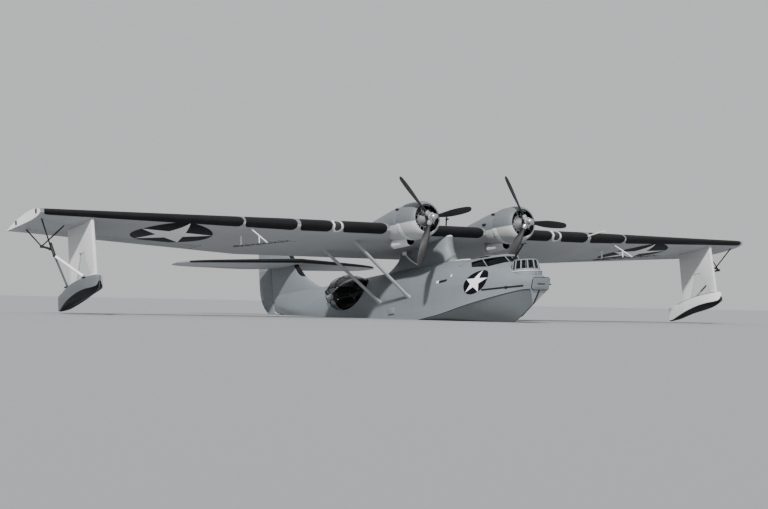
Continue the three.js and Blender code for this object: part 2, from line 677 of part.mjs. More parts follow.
function buildBlisters() {

	for ( const [ word, side ] of [ [ 'left', 1 ], [ 'right', - 1 ] ] ) {

		place( `blister_${ word }`, blisterShell( side, BLISTER.radius, 16, 18, 128, 8 ), 'glass' );
		place( `blister_hatch_${ word }`, blisterShell( side, BLISTER.radius - 26, 16, - 66, 24, 7 ), 'glass' );
		const gunY = BLISTER.y + 80;
		const post = solid( new THREE.CylinderGeometry( 35, 45, 700, 12 ).rotateX( Math.PI / 2 )
			.translate( side * 820, gunY, WAIST.floor + 352 ) );
		const cradle = box( 90, 200, 110, side * 820, gunY, WAIST.floor + 740 );
		const receiver = box( 80, 620, 130, side * 820, gunY + 60, WAIST.floor + 850 );
		const barrel = solid( new THREE.CylinderGeometry( 22, 22, 620, 10 ).translate( side * 820, gunY - 540, WAIST.floor + 870 ) );
		place( `waist_gun_${ word }`, union( post, cradle, receiver, barrel ), 'gunmetal' );

	}

}

function buildHull() {

	const skirt = turnedAlongZ( [ [ 0, TURRET.floor ], [ TURRET.skirt + 25, TURRET.floor ], [ TURRET.skirt, TURRET.base ], [ 0, TURRET.base ] ], 0, TURRET.y );
	const well = turnedAlongZ( [ [ 0, TURRET.floor ], [ TURRET.well, TURRET.floor ], [ TURRET.well, TURRET.base ],
		[ TURRET.skirt - 30, TURRET.base + 0.1 ], [ TURRET.skirt - 30, TURRET.top + 130 ], [ 0, TURRET.top + 130 ] ], 0, TURRET.y );
	const [ foot, sill ] = canopyRings( - GAP );
	const pit = [ foot.map( ( p ) => new THREE.Vector3( p.x, p.y, COCKPIT_FLOOR ) ), sill, foot.map( ( p ) => new THREE.Vector3( p.x, p.y, 2900 ) ) ];
	const cabinRoof = box( 2 * WAIST.half, WAIST.rear - WAIST.front, WAIST.roof - WAIST.floor, 0,
		( WAIST.front + WAIST.rear ) / 2, ( WAIST.floor + WAIST.roof ) / 2 );
	const holes = [ 1, - 1 ].map( ( side ) => blisterBody( side, BLISTER.radius + CLEAR ) );
	const shell = cut( union( hullShape(), skirt ), aheadOfNose(), well, loft( pit ), cabinRoof, ...holes );
	for ( const { name, front, rear } of hullSections ) {

		const bay = box( 4000, rear - front - GAP, 4000, 0, ( front + rear ) / 2, 1500 );
		place( name, shell.intersect( bay ), 'topside' );

	}

}

// Pylon: outline of the plan at each height
const pylonLevels = [
	{ z: 2560, front: 5230, rear: 10050, half: 430 },
	{ z: 2800, front: 5340, rear: 9730, half: 430 },
	{ z: 3000, front: 5395, rear: 9280, half: 420 },
	{ z: 3250, front: 5460, rear: 8900, half: 400 },
	{ z: 3640, front: 5560, rear: 8760, half: 400 },
	{ z: 4000, front: 5660, rear: 8720, half: 400 }
];

function buildPylon() {

	const plan = ( { z, front, rear, half } ) => {

		const chord = rear - front;
		const fractions = chordSteps( 0, 1, 8 );
		const width = ( c ) => half * Math.min( 1, halfThick( c, 0.2 ) / 0.1 );
		return [
			...fractions.map( ( c ) => new THREE.Vector3( width( c ), front + c * chord, z ) ),
			...fractions.slice( 1 ).reverse().map( ( c ) => new THREE.Vector3( - width( c ), front + c * chord, z ) )
		];

	};
	place( 'pylon', cut( loft( pylonLevels.map( plan ) ), wingCutter, hullShape( GAP ) ), 'topside' );

}

// Hull struts: fore and aft pair on each side
const strutRows = [
	{ word: 'front', footY: 6320, headX: 3850, headY: 6500, headZ: 3800 },
	{ word: 'rear', footY: 8200, headX: 3710, headY: 8480, headZ: 3570 }
];
const STRUT = { footX: 1430, footZ: 1550, wide: 290, narrow: 95 };

function buildStruts() {

	const hull = hullShape( GAP );
	for ( const [ word, side ] of [ [ 'left', 1 ], [ 'right', - 1 ] ] ) {

		for ( const row of strutRows ) {

			const foot = [ side * STRUT.footX, row.footY, STRUT.footZ ];
			const head = [ side * row.headX, row.headY, row.headZ ];
			const bar = member( foot, head, STRUT.wide, STRUT.narrow, 12 );
			place( `strut_${ row.word }_${ word }`, cut( bar, wingCutter, hull ), 'topside' );

		}

	}

}

// Power plants

const cowlProfile = [
	[ 500, 90 ], [ 487, 45 ], [ 490, 14 ], [ 508, 0 ], [ 532, 10 ], [ 572, 55 ], [ 608, 130 ], [ 638, 260 ], [ 655, 450 ],
	[ 657, 650 ], [ 650, 850 ], [ 632, 1030 ], [ 616, 1030 ], [ 634, 850 ], [ 641, 650 ], [ 638, 450 ], [ 618, 260 ], [ 588, 150 ], [ 500, 90 ]
].map( ( [ radius, y ] ) => [ radius, COWL_LIP_Y + y ] );

const nacelleProfile = [
	[ 0, 4960 ], [ 520, 4960 ], [ 575, 5080 ], [ 597, 5250 ], [ 590, 5500 ], [ 555, 5850 ], [ 490, 6250 ], [ 420, 6650 ],
	[ 355, 7070 ], [ 270, 7450 ], [ 0, 7700 ]
];
const grown = ( profile, by ) => profile.map( ( [ radius, y ] ) => [ radius > 0 ? radius + by : 0, y ] );

const SCOOP = { z: 3410, front: 5120, rear: 6250, radius: 165, bore: 140, deep: 500 };

function buildEngine( word, side ) {

	const x = side * ENGINE_X;
	place( `cowl_${ word }`, turnedAlongY( cowlProfile, x, THRUST_Z, 28 ), 'topside' );

	const crankcase = turnedAlongY( [
		[ 0, 4000 ], [ 95, 4000 ], [ 130, 4060 ], [ 215, 4200 ], [ 265, 4300 ], [ 270, 4900 ], [ 430, 4920 ], [ 430, 4950 ], [ 0, 4950 ]
	], x, THRUST_Z );
	const barrels = [ 4420, 4680 ].flatMap( ( y, row ) => Array.from( { length: CYLINDERS_PER_ROW }, ( _, i ) => {

		const turn = ( i + row * 0.5 ) / CYLINDERS_PER_ROW * Math.PI * 2;
		const barrel = new THREE.CylinderGeometry( 92, 84, 350, 7 ).translate( 0, 400, 0 );
		return solid( barrel.rotateX( Math.PI / 2 ).rotateY( turn ).translate( x, y, THRUST_Z ) );

	} ) );
	place( `engine_${ word }`, union( crankcase, ...barrels ), 'steel' );

	const scoopSolid = ( grow ) => turnedAlongY( [
		[ 0, SCOOP.front - 40 ], [ SCOOP.radius + grow, SCOOP.front - 40 ], [ SCOOP.radius + grow, SCOOP.rear - 150 ],
		[ SCOOP.radius * 0.7 + grow, SCOOP.rear ], [ 0, SCOOP.rear + grow ]
	], x, SCOOP.z );
	const nacelle = cut( turnedAlongY( nacelleProfile, x, THRUST_Z, 28 ), wingCutter, scoopSolid( GAP ) );
	place( `nacelle_${ word }`, nacelle, 'topside' );
	const scoop = turnedAlongY( [
		[ SCOOP.bore, SCOOP.front + 10 ], [ SCOOP.radius - 12, SCOOP.front - 8 ], [ SCOOP.radius, SCOOP.front + 20 ],
		[ SCOOP.radius, SCOOP.rear - 150 ], [ SCOOP.radius * 0.7, SCOOP.rear ], [ 0, SCOOP.rear ],
		[ 0, SCOOP.front + SCOOP.deep ], [ SCOOP.bore, SCOOP.front + SCOOP.deep ], [ SCOOP.bore, SCOOP.front + 10 ]
	], x, SCOOP.z );
	place( `oil_cooler_${ word }`, cut( scoop, wingCutter ), 'underside' );

	buildPropeller( word, x );

}

// Blade stations out from the hub: chord, thickness and pitch angle
const bladeStations = [
	{ r: 120, chord: 130, thick: 120, pitch: 62 },
	{ r: 380, chord: 170, thick: 80, pitch: 50 },
	{ r: 800, chord: 265, thick: 42, pitch: 36 },
	{ r: 1250, chord: 270, thick: 26, pitch: 26 },
	{ r: 1650, chord: 215, thick: 16, pitch: 20 },
	{ r: 1790, chord: 140, thick: 11, pitch: 18 },
	{ r: PROP_RADIUS, chord: 60, thick: 8, pitch: 18 }
];
const BLADE_SIDES = 8;
const FIRST_BLADE = { left: deg( - 28 ), right: deg( - 42 ) };

function buildPropeller( word, x ) {

	const hub = turnedAlongY( [
		[ 0, - 310 ], [ 65, - 298 ], [ 108, - 260 ], [ 125, - 200 ], [ 128, - 120 ], [ 165, - 100 ], [ 170, 95 ], [ 100, 110 ], [ 100, 140 ], [ 0, 140 ]
	].map( ( [ radius, y ] ) => [ radius, PROP_Y + y ] ), x, THRUST_Z, 24 );
	const blade = loft( bladeStations.map( ( { r, chord, thick, pitch } ) => Array.from( { length: BLADE_SIDES }, ( _, i ) => {

		const turn = i / BLADE_SIDES * Math.PI * 2;
		const [ along, across ] = [ Math.cos( turn ) * chord / 2, Math.sin( turn ) * thick / 2 ];
		const twist = deg( pitch );
		return new THREE.Vector3( along * Math.cos( twist ) - across * Math.sin( twist ),
			along * Math.sin( twist ) + across * Math.cos( twist ), r );

	} ) ) );
	const blades = Array.from( { length: BLADES }, ( _, i ) => blade
		.rotate( [ 0, THREE.MathUtils.radToDeg( FIRST_BLADE[ word ] ) + i * 360 / BLADES, 0 ] )
		.translate( [ x, PROP_Y, THRUST_Z ] ) );
	place( `propeller_${ word }`, union( hub, ...blades ), 'blade' );

}

// Wing floats, down: the float, its panel and the folding brace

const floatStations = [
	{ y: 6090, deck: 2040, chine: 1950, keel: 1900, half: 35 },
	{ y: 6160, deck: 2070, chine: 1760, keel: 1700, half: 120 },
	{ y: 6330, deck: 2090, chine: 1700, keel: 1590, half: 215 },
	{ y: 6700, deck: 2065, chine: 1665, keel: 1490, half: 310 },
	{ y: 7300, deck: 2010, chine: 1580, keel: 1405, half: 350 },
	{ y: 7950, deck: 1915, chine: 1430, keel: 1330, half: 335 },
	{ y: 8500, deck: 1800, chine: 1290, keel: 1245, half: 240 },
	{ y: 8850, deck: 1710, chine: 1215, keel: 1190, half: 140 },
	{ y: 9060, deck: 1650, chine: 1225, keel: 1200, half: 45 }
];
const FLOAT_SECTIONS = 16;

function floatRing( y, grow ) {

	const [ deck, chine, keel, half ] = [ 'deck', 'chine', 'keel', 'half' ].map( ( column ) => blend( floatStations, 'y', y, column ) );
	const side = deck - chine;
	const outline = [ [ 0, keel ], [ 0.97, chine ], [ 1, chine + side * 0.4 ], [ 0.93, deck - side * 0.12 ], [ 0.5, deck ] ];
	const mirrored = outline.slice( 1 ).reverse().map( ( [ x, z ] ) => [ - x, z ] );
	return [ ...outline, ...mirrored ].map( ( [ x, z ] ) => new THREE.Vector3(
		x * ( half + grow ), y, z + ( z > chine ? grow : - grow ) ) );

}

function floatShape( side, grow = 0 ) {

	const [ from, to ] = [ floatStations[ 0 ].y, floatStations.at( - 1 ).y ];
	return loft( Array.from( { length: FLOAT_SECTIONS + 1 }, ( _, i ) =>
		floatRing( from + ( to - from ) * ( 1 - Math.cos( i / FLOAT_SECTIONS * Math.PI ) ) / 2, grow ) ) )
		.translate( [ side * FLOAT_X, 0, 0 ] );

}

// Panel outline in the plane of the chord: [ y, z ]
const panelOutline = [
	[ 6410, 1950 ], [ 6740, 1950 ], [ 7270, 2920 ], [ 7640, 2920 ], [ 8010, 1850 ], [ 8380, 1780 ], [ 8480, 3880 ], [ 6640, 4000 ]
];

// Brace rods: ends as x out from the hull, y and z, and the thickness
const braceRods = [
	{ from: KNEE.outer, to: [ 15120, 7950, 3960 ], size: 50 },
	{ from: KNEE.outer, to: [ 13980, 7720, 3960 ], size: 50 },
	{ from: KNEE.foot, to: [ 14740, 7940, 3960 ], size: 50 },
	{ from: KNEE.outer, to: KNEE.inner, size: 80 },
	{ from: KNEE.foot, to: KNEE.top, size: 110 },
	{ from: KNEE.foot, to: [ 13850, 6820, 2040 ], size: 75 },
	{ from: KNEE.foot, to: [ 13850, 8150, 1870 ], size: 75 }
];

function buildFloat( word, side ) {

	place( `float_${ word }`, floatShape( side ), 'underside' );
	const floatCutter = floatShape( side, GAP );
	const panel = loft( [ - PANEL_THICK / 2, PANEL_THICK / 2 ].map( ( across ) =>
		panelOutline.map( ( [ y, z ] ) => new THREE.Vector3( side * PANEL_X + across, y, z ) ) ) );
	const foot = [ 6575, 8190 ].map( ( y ) => box( 300, 240, 70, side * FLOAT_X, y, blend( floatStations, 'y', y, 'deck' ) + 20 ) );
	const wing = outerCutter( side );
	place( `float_panel_${ word }`, cut( union( panel, ...foot ), wing, floatCutter ), 'white' );
	const at = ( [ x, y, z ] ) => [ side * x, y, z ];
	const knuckles = [ KNEE.outer, KNEE.inner, KNEE.foot ].map( at ).map( ( [ x, y, z ] ) => box( 110, 130, 110, x, y, z ) );
	const rods = braceRods.map( ( { from, to, size } ) => member( at( from ), at( to ), size, size, 8 ) );
	place( `float_brace_${ word }`, cut( union( ...knuckles, ...rods ), wing, floatCutter ), 'white' );

}

// Aerials: arrays under the wing and the masts

const AERIAL = { x: 8000, postY: 6770, stubY: 5540, boomZ: 3170, boomFront: 3600, boomRear: 7300, droop: 260, rod: 340 };
const AERIAL_RODS = 5;

function buildAerials() {

	const { x, postY, stubY, boomZ, boomFront, boomRear, droop, rod } = AERIAL;
	for ( const [ word, side ] of [ [ 'left', 1 ], [ 'right', - 1 ] ] ) {

		const across = side * x;
		const boomAt = ( t ) => [ across, boomFront + ( boomRear - boomFront ) * t, boomZ - droop * ( 0.5 - t ) ];
		const boomUnder = ( y ) => boomAt( ( y - boomFront ) / ( boomRear - boomFront ) );
		const boom = member( boomAt( 0 ), boomAt( 1 ), 40, 40, 8 );
		const post = member( [ across, postY, 3950 ], boomUnder( postY ), 90, 40, 8 );
		const brace = member( [ across, 6360, 3950 ], boomUnder( 4980 ), 50, 50, 8 );
		const stub = member( [ across, stubY, 3460 ], boomUnder( stubY ), 60, 30, 8 );
		const rods = Array.from( { length: AERIAL_RODS }, ( _, i ) => {

			const [ , y, z ] = boomAt( ( i + 0.2 ) / AERIAL_RODS );
			return member( [ across - rod, y, z ], [ across + rod, y, z ], 22, 22, 8 );

		} );
		place( `aerial_${ word }`, cut( union( boom, post, brace, stub, ...rods ), outerCutter( side ) ), 'white' );

	}
	const mast = member( [ 0, 2035, 2440 ], [ 0, 1430, 2930 ], 80, 50, 10 );
	const head = box( 70, 300, 24, 0, 1420, 2935 );
	place( 'forward_mast', cut( union( mast, head ), loft( canopyRings( - GAP ) ), hullShape( GAP ) ), 'gunmetal' );

}

// Ground-handling and mooring pieces

const PAD = { y: 7350, z: 1180, wide: 380, high: 240 };
const MOORING = { y: 720, top: 1870 };

function buildFittings() {

	const hull = hullShape( GAP );
	for ( const [ word, side ] of [ [ 'left', 1 ], [ 'right', - 1 ] ] ) {

		const pad = box( 140, PAD.wide, PAD.high, side * 1500, PAD.y, PAD.z );
		place( `beaching_pad_${ word }`, cut( pad, hull ), 'topside' );

	}
	const post = box( 70, 70, 170, 0, MOORING.y, MOORING.top - 85 );
	const bar = box( 200, 40, 36, 0, MOORING.y, MOORING.top - 22 );
	place( 'mooring_post', cut( union( post, bar ), hull ), 'steel' );

}

buildHull();
buildCockpit();
buildTurret();
buildBlisters();
buildPylon();
buildWing();
buildStruts();
buildEngine( 'left', 1 );
buildEngine( 'right', - 1 );
buildTail();
buildFloat( 'left', 1 );
buildFloat( 'right', - 1 );
buildAerials();
buildFittings();

export default boat;
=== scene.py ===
"""Looks of a twin-engined patrol flying boat that planes nose-up on its waterline plane.

Sizes and places are metres in hull axes: x to port, y aft from the bow tip, z up from the keel at the
main step. The frame's axes differ from them by the planing trim and the draught, and afloat() is the way
from one to the other.
"""

from __future__ import annotations

import logging
from dataclasses import dataclass, field
from enum import Enum
from math import atan2, cos, pi, radians, sin, sqrt, tau
from typing import Callable, Iterable, NamedTuple, Sequence, TypeVar

import bpy
from mathutils import Matrix, Vector

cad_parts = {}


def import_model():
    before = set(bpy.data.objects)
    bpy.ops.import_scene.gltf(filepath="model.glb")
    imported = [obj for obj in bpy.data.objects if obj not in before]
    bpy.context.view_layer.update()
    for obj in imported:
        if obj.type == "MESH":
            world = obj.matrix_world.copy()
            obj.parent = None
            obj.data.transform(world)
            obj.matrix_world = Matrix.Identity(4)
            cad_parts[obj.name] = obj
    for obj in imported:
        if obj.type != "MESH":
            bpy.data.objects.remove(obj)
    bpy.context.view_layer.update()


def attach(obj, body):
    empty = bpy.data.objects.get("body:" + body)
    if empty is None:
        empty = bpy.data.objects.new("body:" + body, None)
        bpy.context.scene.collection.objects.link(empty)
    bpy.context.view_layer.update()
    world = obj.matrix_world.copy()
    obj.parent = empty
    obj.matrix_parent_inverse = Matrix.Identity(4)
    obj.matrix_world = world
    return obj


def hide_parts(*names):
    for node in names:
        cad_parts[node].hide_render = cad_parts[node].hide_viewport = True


LOG = logging.getLogger("flying_boat")

TRIM = radians(6.333)
STATION_AFLOAT = 8.0
DRAUGHT = 0.954
AFLOAT = (
    Matrix.Translation((0, 0, -DRAUGHT))
    @ Matrix.Rotation(-TRIM, 4, "X")
    @ Matrix.Translation((0, -STATION_AFLOAT, 0))
)
AIRFRAME = "airframe"
PORT, STARBOARD = 1, -1
SIDES = ((PORT, "left"), (STARBOARD, "right"))

Point = Sequence[float]
Ring = list[Point]
Profile = Sequence[tuple[float, float]]
Surface = Callable[[float, float, int, float], Vector]
Piece = bpy.types.Object
Colour = tuple[float, float, float]
Row = TypeVar("Row", bound=tuple)


# Modelling steps


def pick(*pieces: Piece) -> None:
    """Selects only these pieces and makes the first one active.

    Args:
        pieces: the pieces to select.
    """
    bpy.ops.object.select_all(action="DESELECT")
    for piece in pieces:
        piece.select_set(True)
    bpy.context.view_layer.objects.active = pieces[0]


def edit(piece: Piece, *steps: Callable[[], object]) -> Piece:
    """Runs operators in edit mode on all of a piece.

    Args:
        piece: the mesh to work on.
        steps: calls without arguments, run in turn.

    Returns:
        The same piece.
    """
    pick(piece)
    bpy.ops.object.mode_set(mode="EDIT")
    bpy.ops.mesh.select_all(action="SELECT")
    for step in steps:
        step()
    bpy.ops.object.mode_set(mode="OBJECT")
    return piece


def outward(piece: Piece) -> Piece:
    """Merges doubles and turns every face outwards."""
    return edit(
        piece,
        lambda: bpy.ops.mesh.remove_doubles(threshold=1e-5),
        lambda: bpy.ops.mesh.normals_make_consistent(inside=False),
    )


def skin(rings: Sequence[Ring]) -> Piece:
    """Extrudes a closed circle once per section and shapes each ring to its section.

    Args:
        rings: the sections in order, all with the same number of points.

    Returns:
        A closed solid with flat ends.
    """
    bpy.ops.mesh.primitive_circle_add(vertices=len(rings[0]), fill_type="NGON")
    piece = bpy.context.object

    def extrude() -> None:
        """Extrudes the end face once."""
        bpy.ops.mesh.extrude_region_move(TRANSFORM_OT_translate={"value": (0, 0, 1)})

    edit(piece, *([extrude] * (len(rings) - 1)))
    piece.data.vertices.foreach_set("co", [c for ring in rings for point in ring for c in point])
    return outward(piece)


def added(name: str, data: bpy.types.ID) -> Piece:
    """Puts an object with this data in the scene.

    Args:
        name: name of the object.
        data: its mesh, curve or other data.

    Returns:
        The new object.
    """
    piece = bpy.data.objects.new(name, data)
    bpy.context.collection.objects.link(piece)
    return piece


def turned(x: float, y: float, z: float, angle: float) -> Matrix:
    """Returns the way to a place from the origin, after a turn about Y."""
    return Matrix.Translation((x, y, z)) @ Matrix.Rotation(angle, 4, "Y")


def outline(points: Ring, closed: bool) -> Piece:
    """Makes a chain of edges, the start of a spun shape.

    Args:
        points: the corners in order.
        closed: whether the last point joins the first.

    Returns:
        A piece that has edges only.
    """
    last = len(points) if closed else len(points) - 1
    mesh = bpy.data.meshes.new("outline")
    mesh.from_pydata([tuple(p) for p in points], [(i, (i + 1) % len(points)) for i in range(last)], [])
    return added("outline", mesh)


def spun(
    profile: Profile,
    x: float,
    z: float,
    steps: int = 48,
    start: float = 0.0,
    sweep: float = 360.0,
    closed: bool = False,
) -> Piece:
    """Spins a profile about a line along Y.

    Args:
        profile: pairs of radius and y.
        x: the line's place across.
        z: the line's height.
        steps: faces round the sweep.
        start: first angle in degrees, measured up from port.
        sweep: degrees turned.
        closed: whether the profile's last point joins its first.

    Returns:
        The turned shape, closed where the sweep is a full turn or the profile is a loop.
    """
    first = radians(start)
    points = [(x + r * cos(first), y, z + r * sin(first)) for r, y in profile]
    piece = outline(points, closed)
    steps_of_turn = [
        lambda: bpy.ops.mesh.spin(
            steps=steps, angle=-radians(sweep), center=(x, 0, z), axis=(0, 1, 0)
        )
    ]
    if sweep < 360 and closed:
        steps_of_turn += [
            lambda: bpy.ops.mesh.select_all(action="SELECT"),
            lambda: bpy.ops.mesh.remove_doubles(threshold=1e-5),
            lambda: bpy.ops.mesh.select_all(action="DESELECT"),
            lambda: bpy.ops.mesh.select_non_manifold(),
            lambda: bpy.ops.mesh.edge_face_add(),
        ]
    edit(piece, *steps_of_turn)
    return outward(piece)


def upright_spun(
    profile: Profile, x: float, y: float, steps: int = 48, closed: bool = False
) -> Piece:
    """Spins a profile of radius and height about a line along Z.

    Args:
        profile: pairs of radius and height.
        x: the line's place across.
        y: the line's place fore and aft.
        steps: faces round the turn.
        closed: whether the profile's last point joins its first.

    Returns:
        The turned shape.
    """
    piece = outline([(x + r, y, z) for r, z in profile], closed)
    edit(piece, lambda: bpy.ops.mesh.spin(steps=steps, angle=tau, center=(x, y, 0), axis=(0, 0, 1)))
    return outward(piece)


def block(size: Point, at: Point, edge: float = 0.0, turn: Matrix | None = None) -> Piece:
    """Makes a box with eased edges.

    Args:
        size: full width, depth and height.
        at: its middle.
        edge: width of the eased edge, or 0 for none.
        turn: optional rotation about its middle.

    Returns:
        The box, its place in its mesh.
    """
    bpy.ops.mesh.primitive_cube_add(size=1)
    piece = bpy.context.object
    edit(piece, lambda: bpy.ops.transform.resize(value=tuple(size)))
    if edge > 0:
        edit(piece, lambda: bpy.ops.mesh.bevel(offset=edge, segments=2, affect="EDGES"))
    piece.data.transform(Matrix.Translation(at) @ (turn or Matrix()))
    return piece


def tablet(wide: float, high: float, deep: float, corner: float, edge: float = 0.006) -> Piece:
    """Makes a plate with round corners that stands up in x and z and is thick along y from 0.

    Args:
        wide: full width in x.
        high: full height in z.
        deep: thickness.
        corner: radius of the corners.
        edge: how much the front is drawn in.

    Returns:
        The plate about the origin.
    """

    def ring(y: float, inset: float) -> Ring:
        """Returns the outline at a depth.

        Args:
            y: the depth.
            inset: distance inside the full outline.

        Returns:
            The points in order.
        """
        points = []
        for k, (sx, sz) in enumerate(((1, 1), (-1, 1), (-1, -1), (1, -1))):
            for i in range(7):
                turn = pi / 2 * (k + i / 6)
                reach = corner - inset
                across, up = sx * (wide / 2 - corner), sz * (high / 2 - corner)
                points.append((across + reach * cos(turn), y, up + reach * sin(turn)))
        return points

    return skin([ring(0.0, 0.0), ring(deep - edge, 0.0), ring(deep, edge)])


def pipe(points: Sequence[Point], radius: float, sides: int = 10, smooth: bool = False) -> Piece:
    """Makes a capped round tube along a route.

    Args:
        points: the route's points.
        radius: the tube's radius.
        sides: faces round the tube, a multiple of 2 from 6 up.
        smooth: whether the route curves through its points.

    Returns:
        The tube as a mesh.
    """
    curve = bpy.data.curves.new("pipe", "CURVE")
    curve.dimensions = "3D"
    curve.bevel_depth = radius
    curve.bevel_resolution = max(1, sides // 2 - 2)
    curve.use_fill_caps = True
    spline = curve.splines.new("BEZIER" if smooth else "POLY")
    if smooth:
        curve.resolution_u = 6
        spline.bezier_points.add(len(points) - 1)
        for knot, point in zip(spline.bezier_points, points):
            knot.co = point
            knot.handle_left_type = knot.handle_right_type = "AUTO"
    else:
        spline.points.add(len(points) - 1)
        for knot, point in zip(spline.points, points):
            knot.co = (*point, 1.0)
    pick(added("pipe", curve))
    bpy.ops.object.convert(target="MESH")
    return outward(bpy.context.object)


def drop_ring(centre: Vector, chordwise: Vector, sidewise: Vector, size: Point, sides: int) -> Ring:
    """Returns a streamlined member's drop-shaped section.

    Args:
        centre: the section's middle.
        chordwise: direction of the wide axis.
        sidewise: direction of the narrow axis.
        size: full width along both.
        sides: points round the section.

    Returns:
        The ring of points.
    """
    points = []
    for i in range(sides):
        turn = tau * i / sides
        across = size[1] / 2 * sin(turn) * (1 - 0.25 * cos(turn))
        points.append(centre + chordwise * (size[0] / 2 * cos(turn)) + sidewise * across)
    return points


def faired_bar(start: Point, end: Point, wide: float, narrow: float, sides: int = 20) -> Piece:
    """Makes a streamlined member whose wide axis lies along the air flow.

    Args:
        start: middle of the first end.
        end: middle of the last end.
        wide: width along the air flow.
        narrow: width across it.
        sides: faces round the bar.

    Returns:
        The closed bar.
    """
    line = (Vector(end) - Vector(start)).normalized()
    flow = Vector((0, 1, 0)) if abs(line.y) < 0.9 else Vector((0, 0, 1))
    chordwise = (flow - line * flow.dot(line)).normalized()
    sidewise = line.cross(chordwise)

    return skin([drop_ring(Vector(at), chordwise, sidewise, (wide, narrow), sides) for at in (start, end)])


CUFF_FLARE = (
    (0, 1.9), (0.03, 1.45), (0.06, 1.15), (0.1, 1.0), (0.5, 1.0), (0.88, 1.0), (0.93, 1.15), (0.97, 1.5),
    (1, 2.0),
)


def cuffed_bar(start: Point, end: Point, wide: float, narrow: float, sides: int = 24) -> Piece:
    """Makes a streamlined member that flares into a cuff at both ends.

    Args:
        start: middle of the first end.
        end: middle of the last end.
        wide: width along the air flow.
        narrow: width across it.
        sides: faces round the bar.

    Returns:
        The closed bar.
    """
    first, last = Vector(start), Vector(end)
    line = (last - first).normalized()
    chordwise = (Vector((0, 1, 0)) - line * line.y).normalized()
    sidewise = line.cross(chordwise)
    rings = []
    for t, flare in CUFF_FLARE:
        size = (wide * flare, narrow * (0.6 + 0.4 * flare))
        rings.append(drop_ring(first.lerp(last, t), chordwise, sidewise, size, sides))
    return skin(rings)


def bent(piece: Piece, matrix: Matrix) -> Piece:
    """Moves a piece's mesh and returns the piece.

    Args:
        piece: the piece to move.
        matrix: the move.

    Returns:
        The same piece.
    """
    piece.data.transform(matrix)
    if matrix.determinant() < 0:
        piece.data.flip_normals()
    return piece


def copied(piece: Piece, matrix: Matrix) -> Piece:
    """Copies a piece with a mesh of its own and moves the copy.

    Args:
        piece: the piece to copy.
        matrix: where the copy goes.

    Returns:
        The copy.
    """
    twin = piece.copy()
    twin.data = piece.data.copy()
    bpy.context.collection.objects.link(twin)
    return bent(twin, matrix)


def joined(pieces: Sequence[Piece]) -> Piece:
    """Joins pieces into the first one."""
    if len(pieces) > 1:
        pick(*pieces)
        bpy.ops.object.join()
    return pieces[0]


def carve(
    piece: Piece, *tools: Piece, operation: str = "DIFFERENCE"
) -> Piece:
    """Cuts the tools out of a piece, or adds them to it, and removes them."""
    for tool in tools:
        cutter = piece.modifiers.new("carve", "BOOLEAN")
        cutter.operation = operation
        cutter.solver = "EXACT"
        cutter.object = tool
        pick(piece)
        bpy.ops.object.modifier_apply(modifier=cutter.name)
        bpy.data.objects.remove(tool)
    return piece


def eased(piece: Piece, width: float, segments: int = 2, angle: float = 35.0) -> Piece:
    """Rounds the sharp edges of a piece with a bevel modifier and applies it.

    Args:
        piece: the piece to round.
        width: width of the bevel.
        segments: faces across the bevel.
        angle: edges sharper than this are rounded, in degrees.

    Returns:
        The same piece.
    """
    bevel = piece.modifiers.new("eased", "BEVEL")
    bevel.width = width
    bevel.segments = segments
    bevel.limit_method = "ANGLE"
    bevel.angle_limit = radians(angle)
    pick(piece)
    bpy.ops.object.modifier_apply(modifier=bevel.name)
    return piece


# Shaders


@dataclass
class Wire:
    """One number or colour in a material's nodes, combined by ordinary arithmetic."""

    bench: ShaderBench
    socket: bpy.types.NodeSocket

    def _math(self, operation: str, *others: Wire | float, clamp: bool = False) -> Wire:
        """Adds a Math node fed by this value and the others.

        Args:
            operation: the sum that the node does.
            others: the other values.
            clamp: whether the result stays within 0 and 1.

        Returns:
            The result.
        """
        node = self.bench.node("Math")
        node.operation, node.use_clamp = operation, clamp
        self.bench.feed(node.inputs[0], self)
        for i, other in enumerate(others):
            self.bench.feed(node.inputs[i + 1], other)
        return Wire(self.bench, node.outputs[0])

    def __add__(self, other: Wire | float) -> Wire:
        """Returns the sum."""
        return self._math("ADD", other)

    def __sub__(self, other: Wire | float) -> Wire:
        """Returns the difference."""
        return self._math("SUBTRACT", other)

    def __mul__(self, other: Wire | float) -> Wire:
        """Returns the product."""
        return self._math("MULTIPLY", other)

    def __truediv__(self, other: Wire | float) -> Wire:
        """Returns the quotient."""
        return self._math("DIVIDE", other)

    def size(self) -> Wire:
        """Returns the value without its sign."""
        return self._math("ABSOLUTE")

    def most(self, other: Wire | float) -> Wire:
        """Returns the larger of two values."""
        return self._math("MAXIMUM", other)

    def sine(self) -> Wire:
        """Returns the sine."""
        return self._math("SINE")

    def cosine(self) -> Wire:
        """Returns the cosine."""
        return self._math("COSINE")

    def angle_to(self, other: Wire | float) -> Wire:
        """Returns the angle whose tangent is this value over the other."""
        return self._math("ARCTAN2", other)

    def wrapped(self, period: float) -> Wire:
        """Returns the value folded to a triangle wave between 0 and half the period."""
        return self._math("PINGPONG", period / 2)

    def root(self) -> Wire:
        """Returns the square root."""
        return self._math("SQRT")

    def above(self, edge: float, blur: float) -> Wire:
        """Returns 0 below an edge and 1 above it, blurred over a width."""
        return ((self - edge) / max(blur, 1e-5) + 0.5)._math("ADD", 0.0, clamp=True)

    def below(self, edge: float, blur: float) -> Wire:
        """Returns 1 below an edge and 0 above it."""
        return self.bench.number(1.0) - self.above(edge, blur)


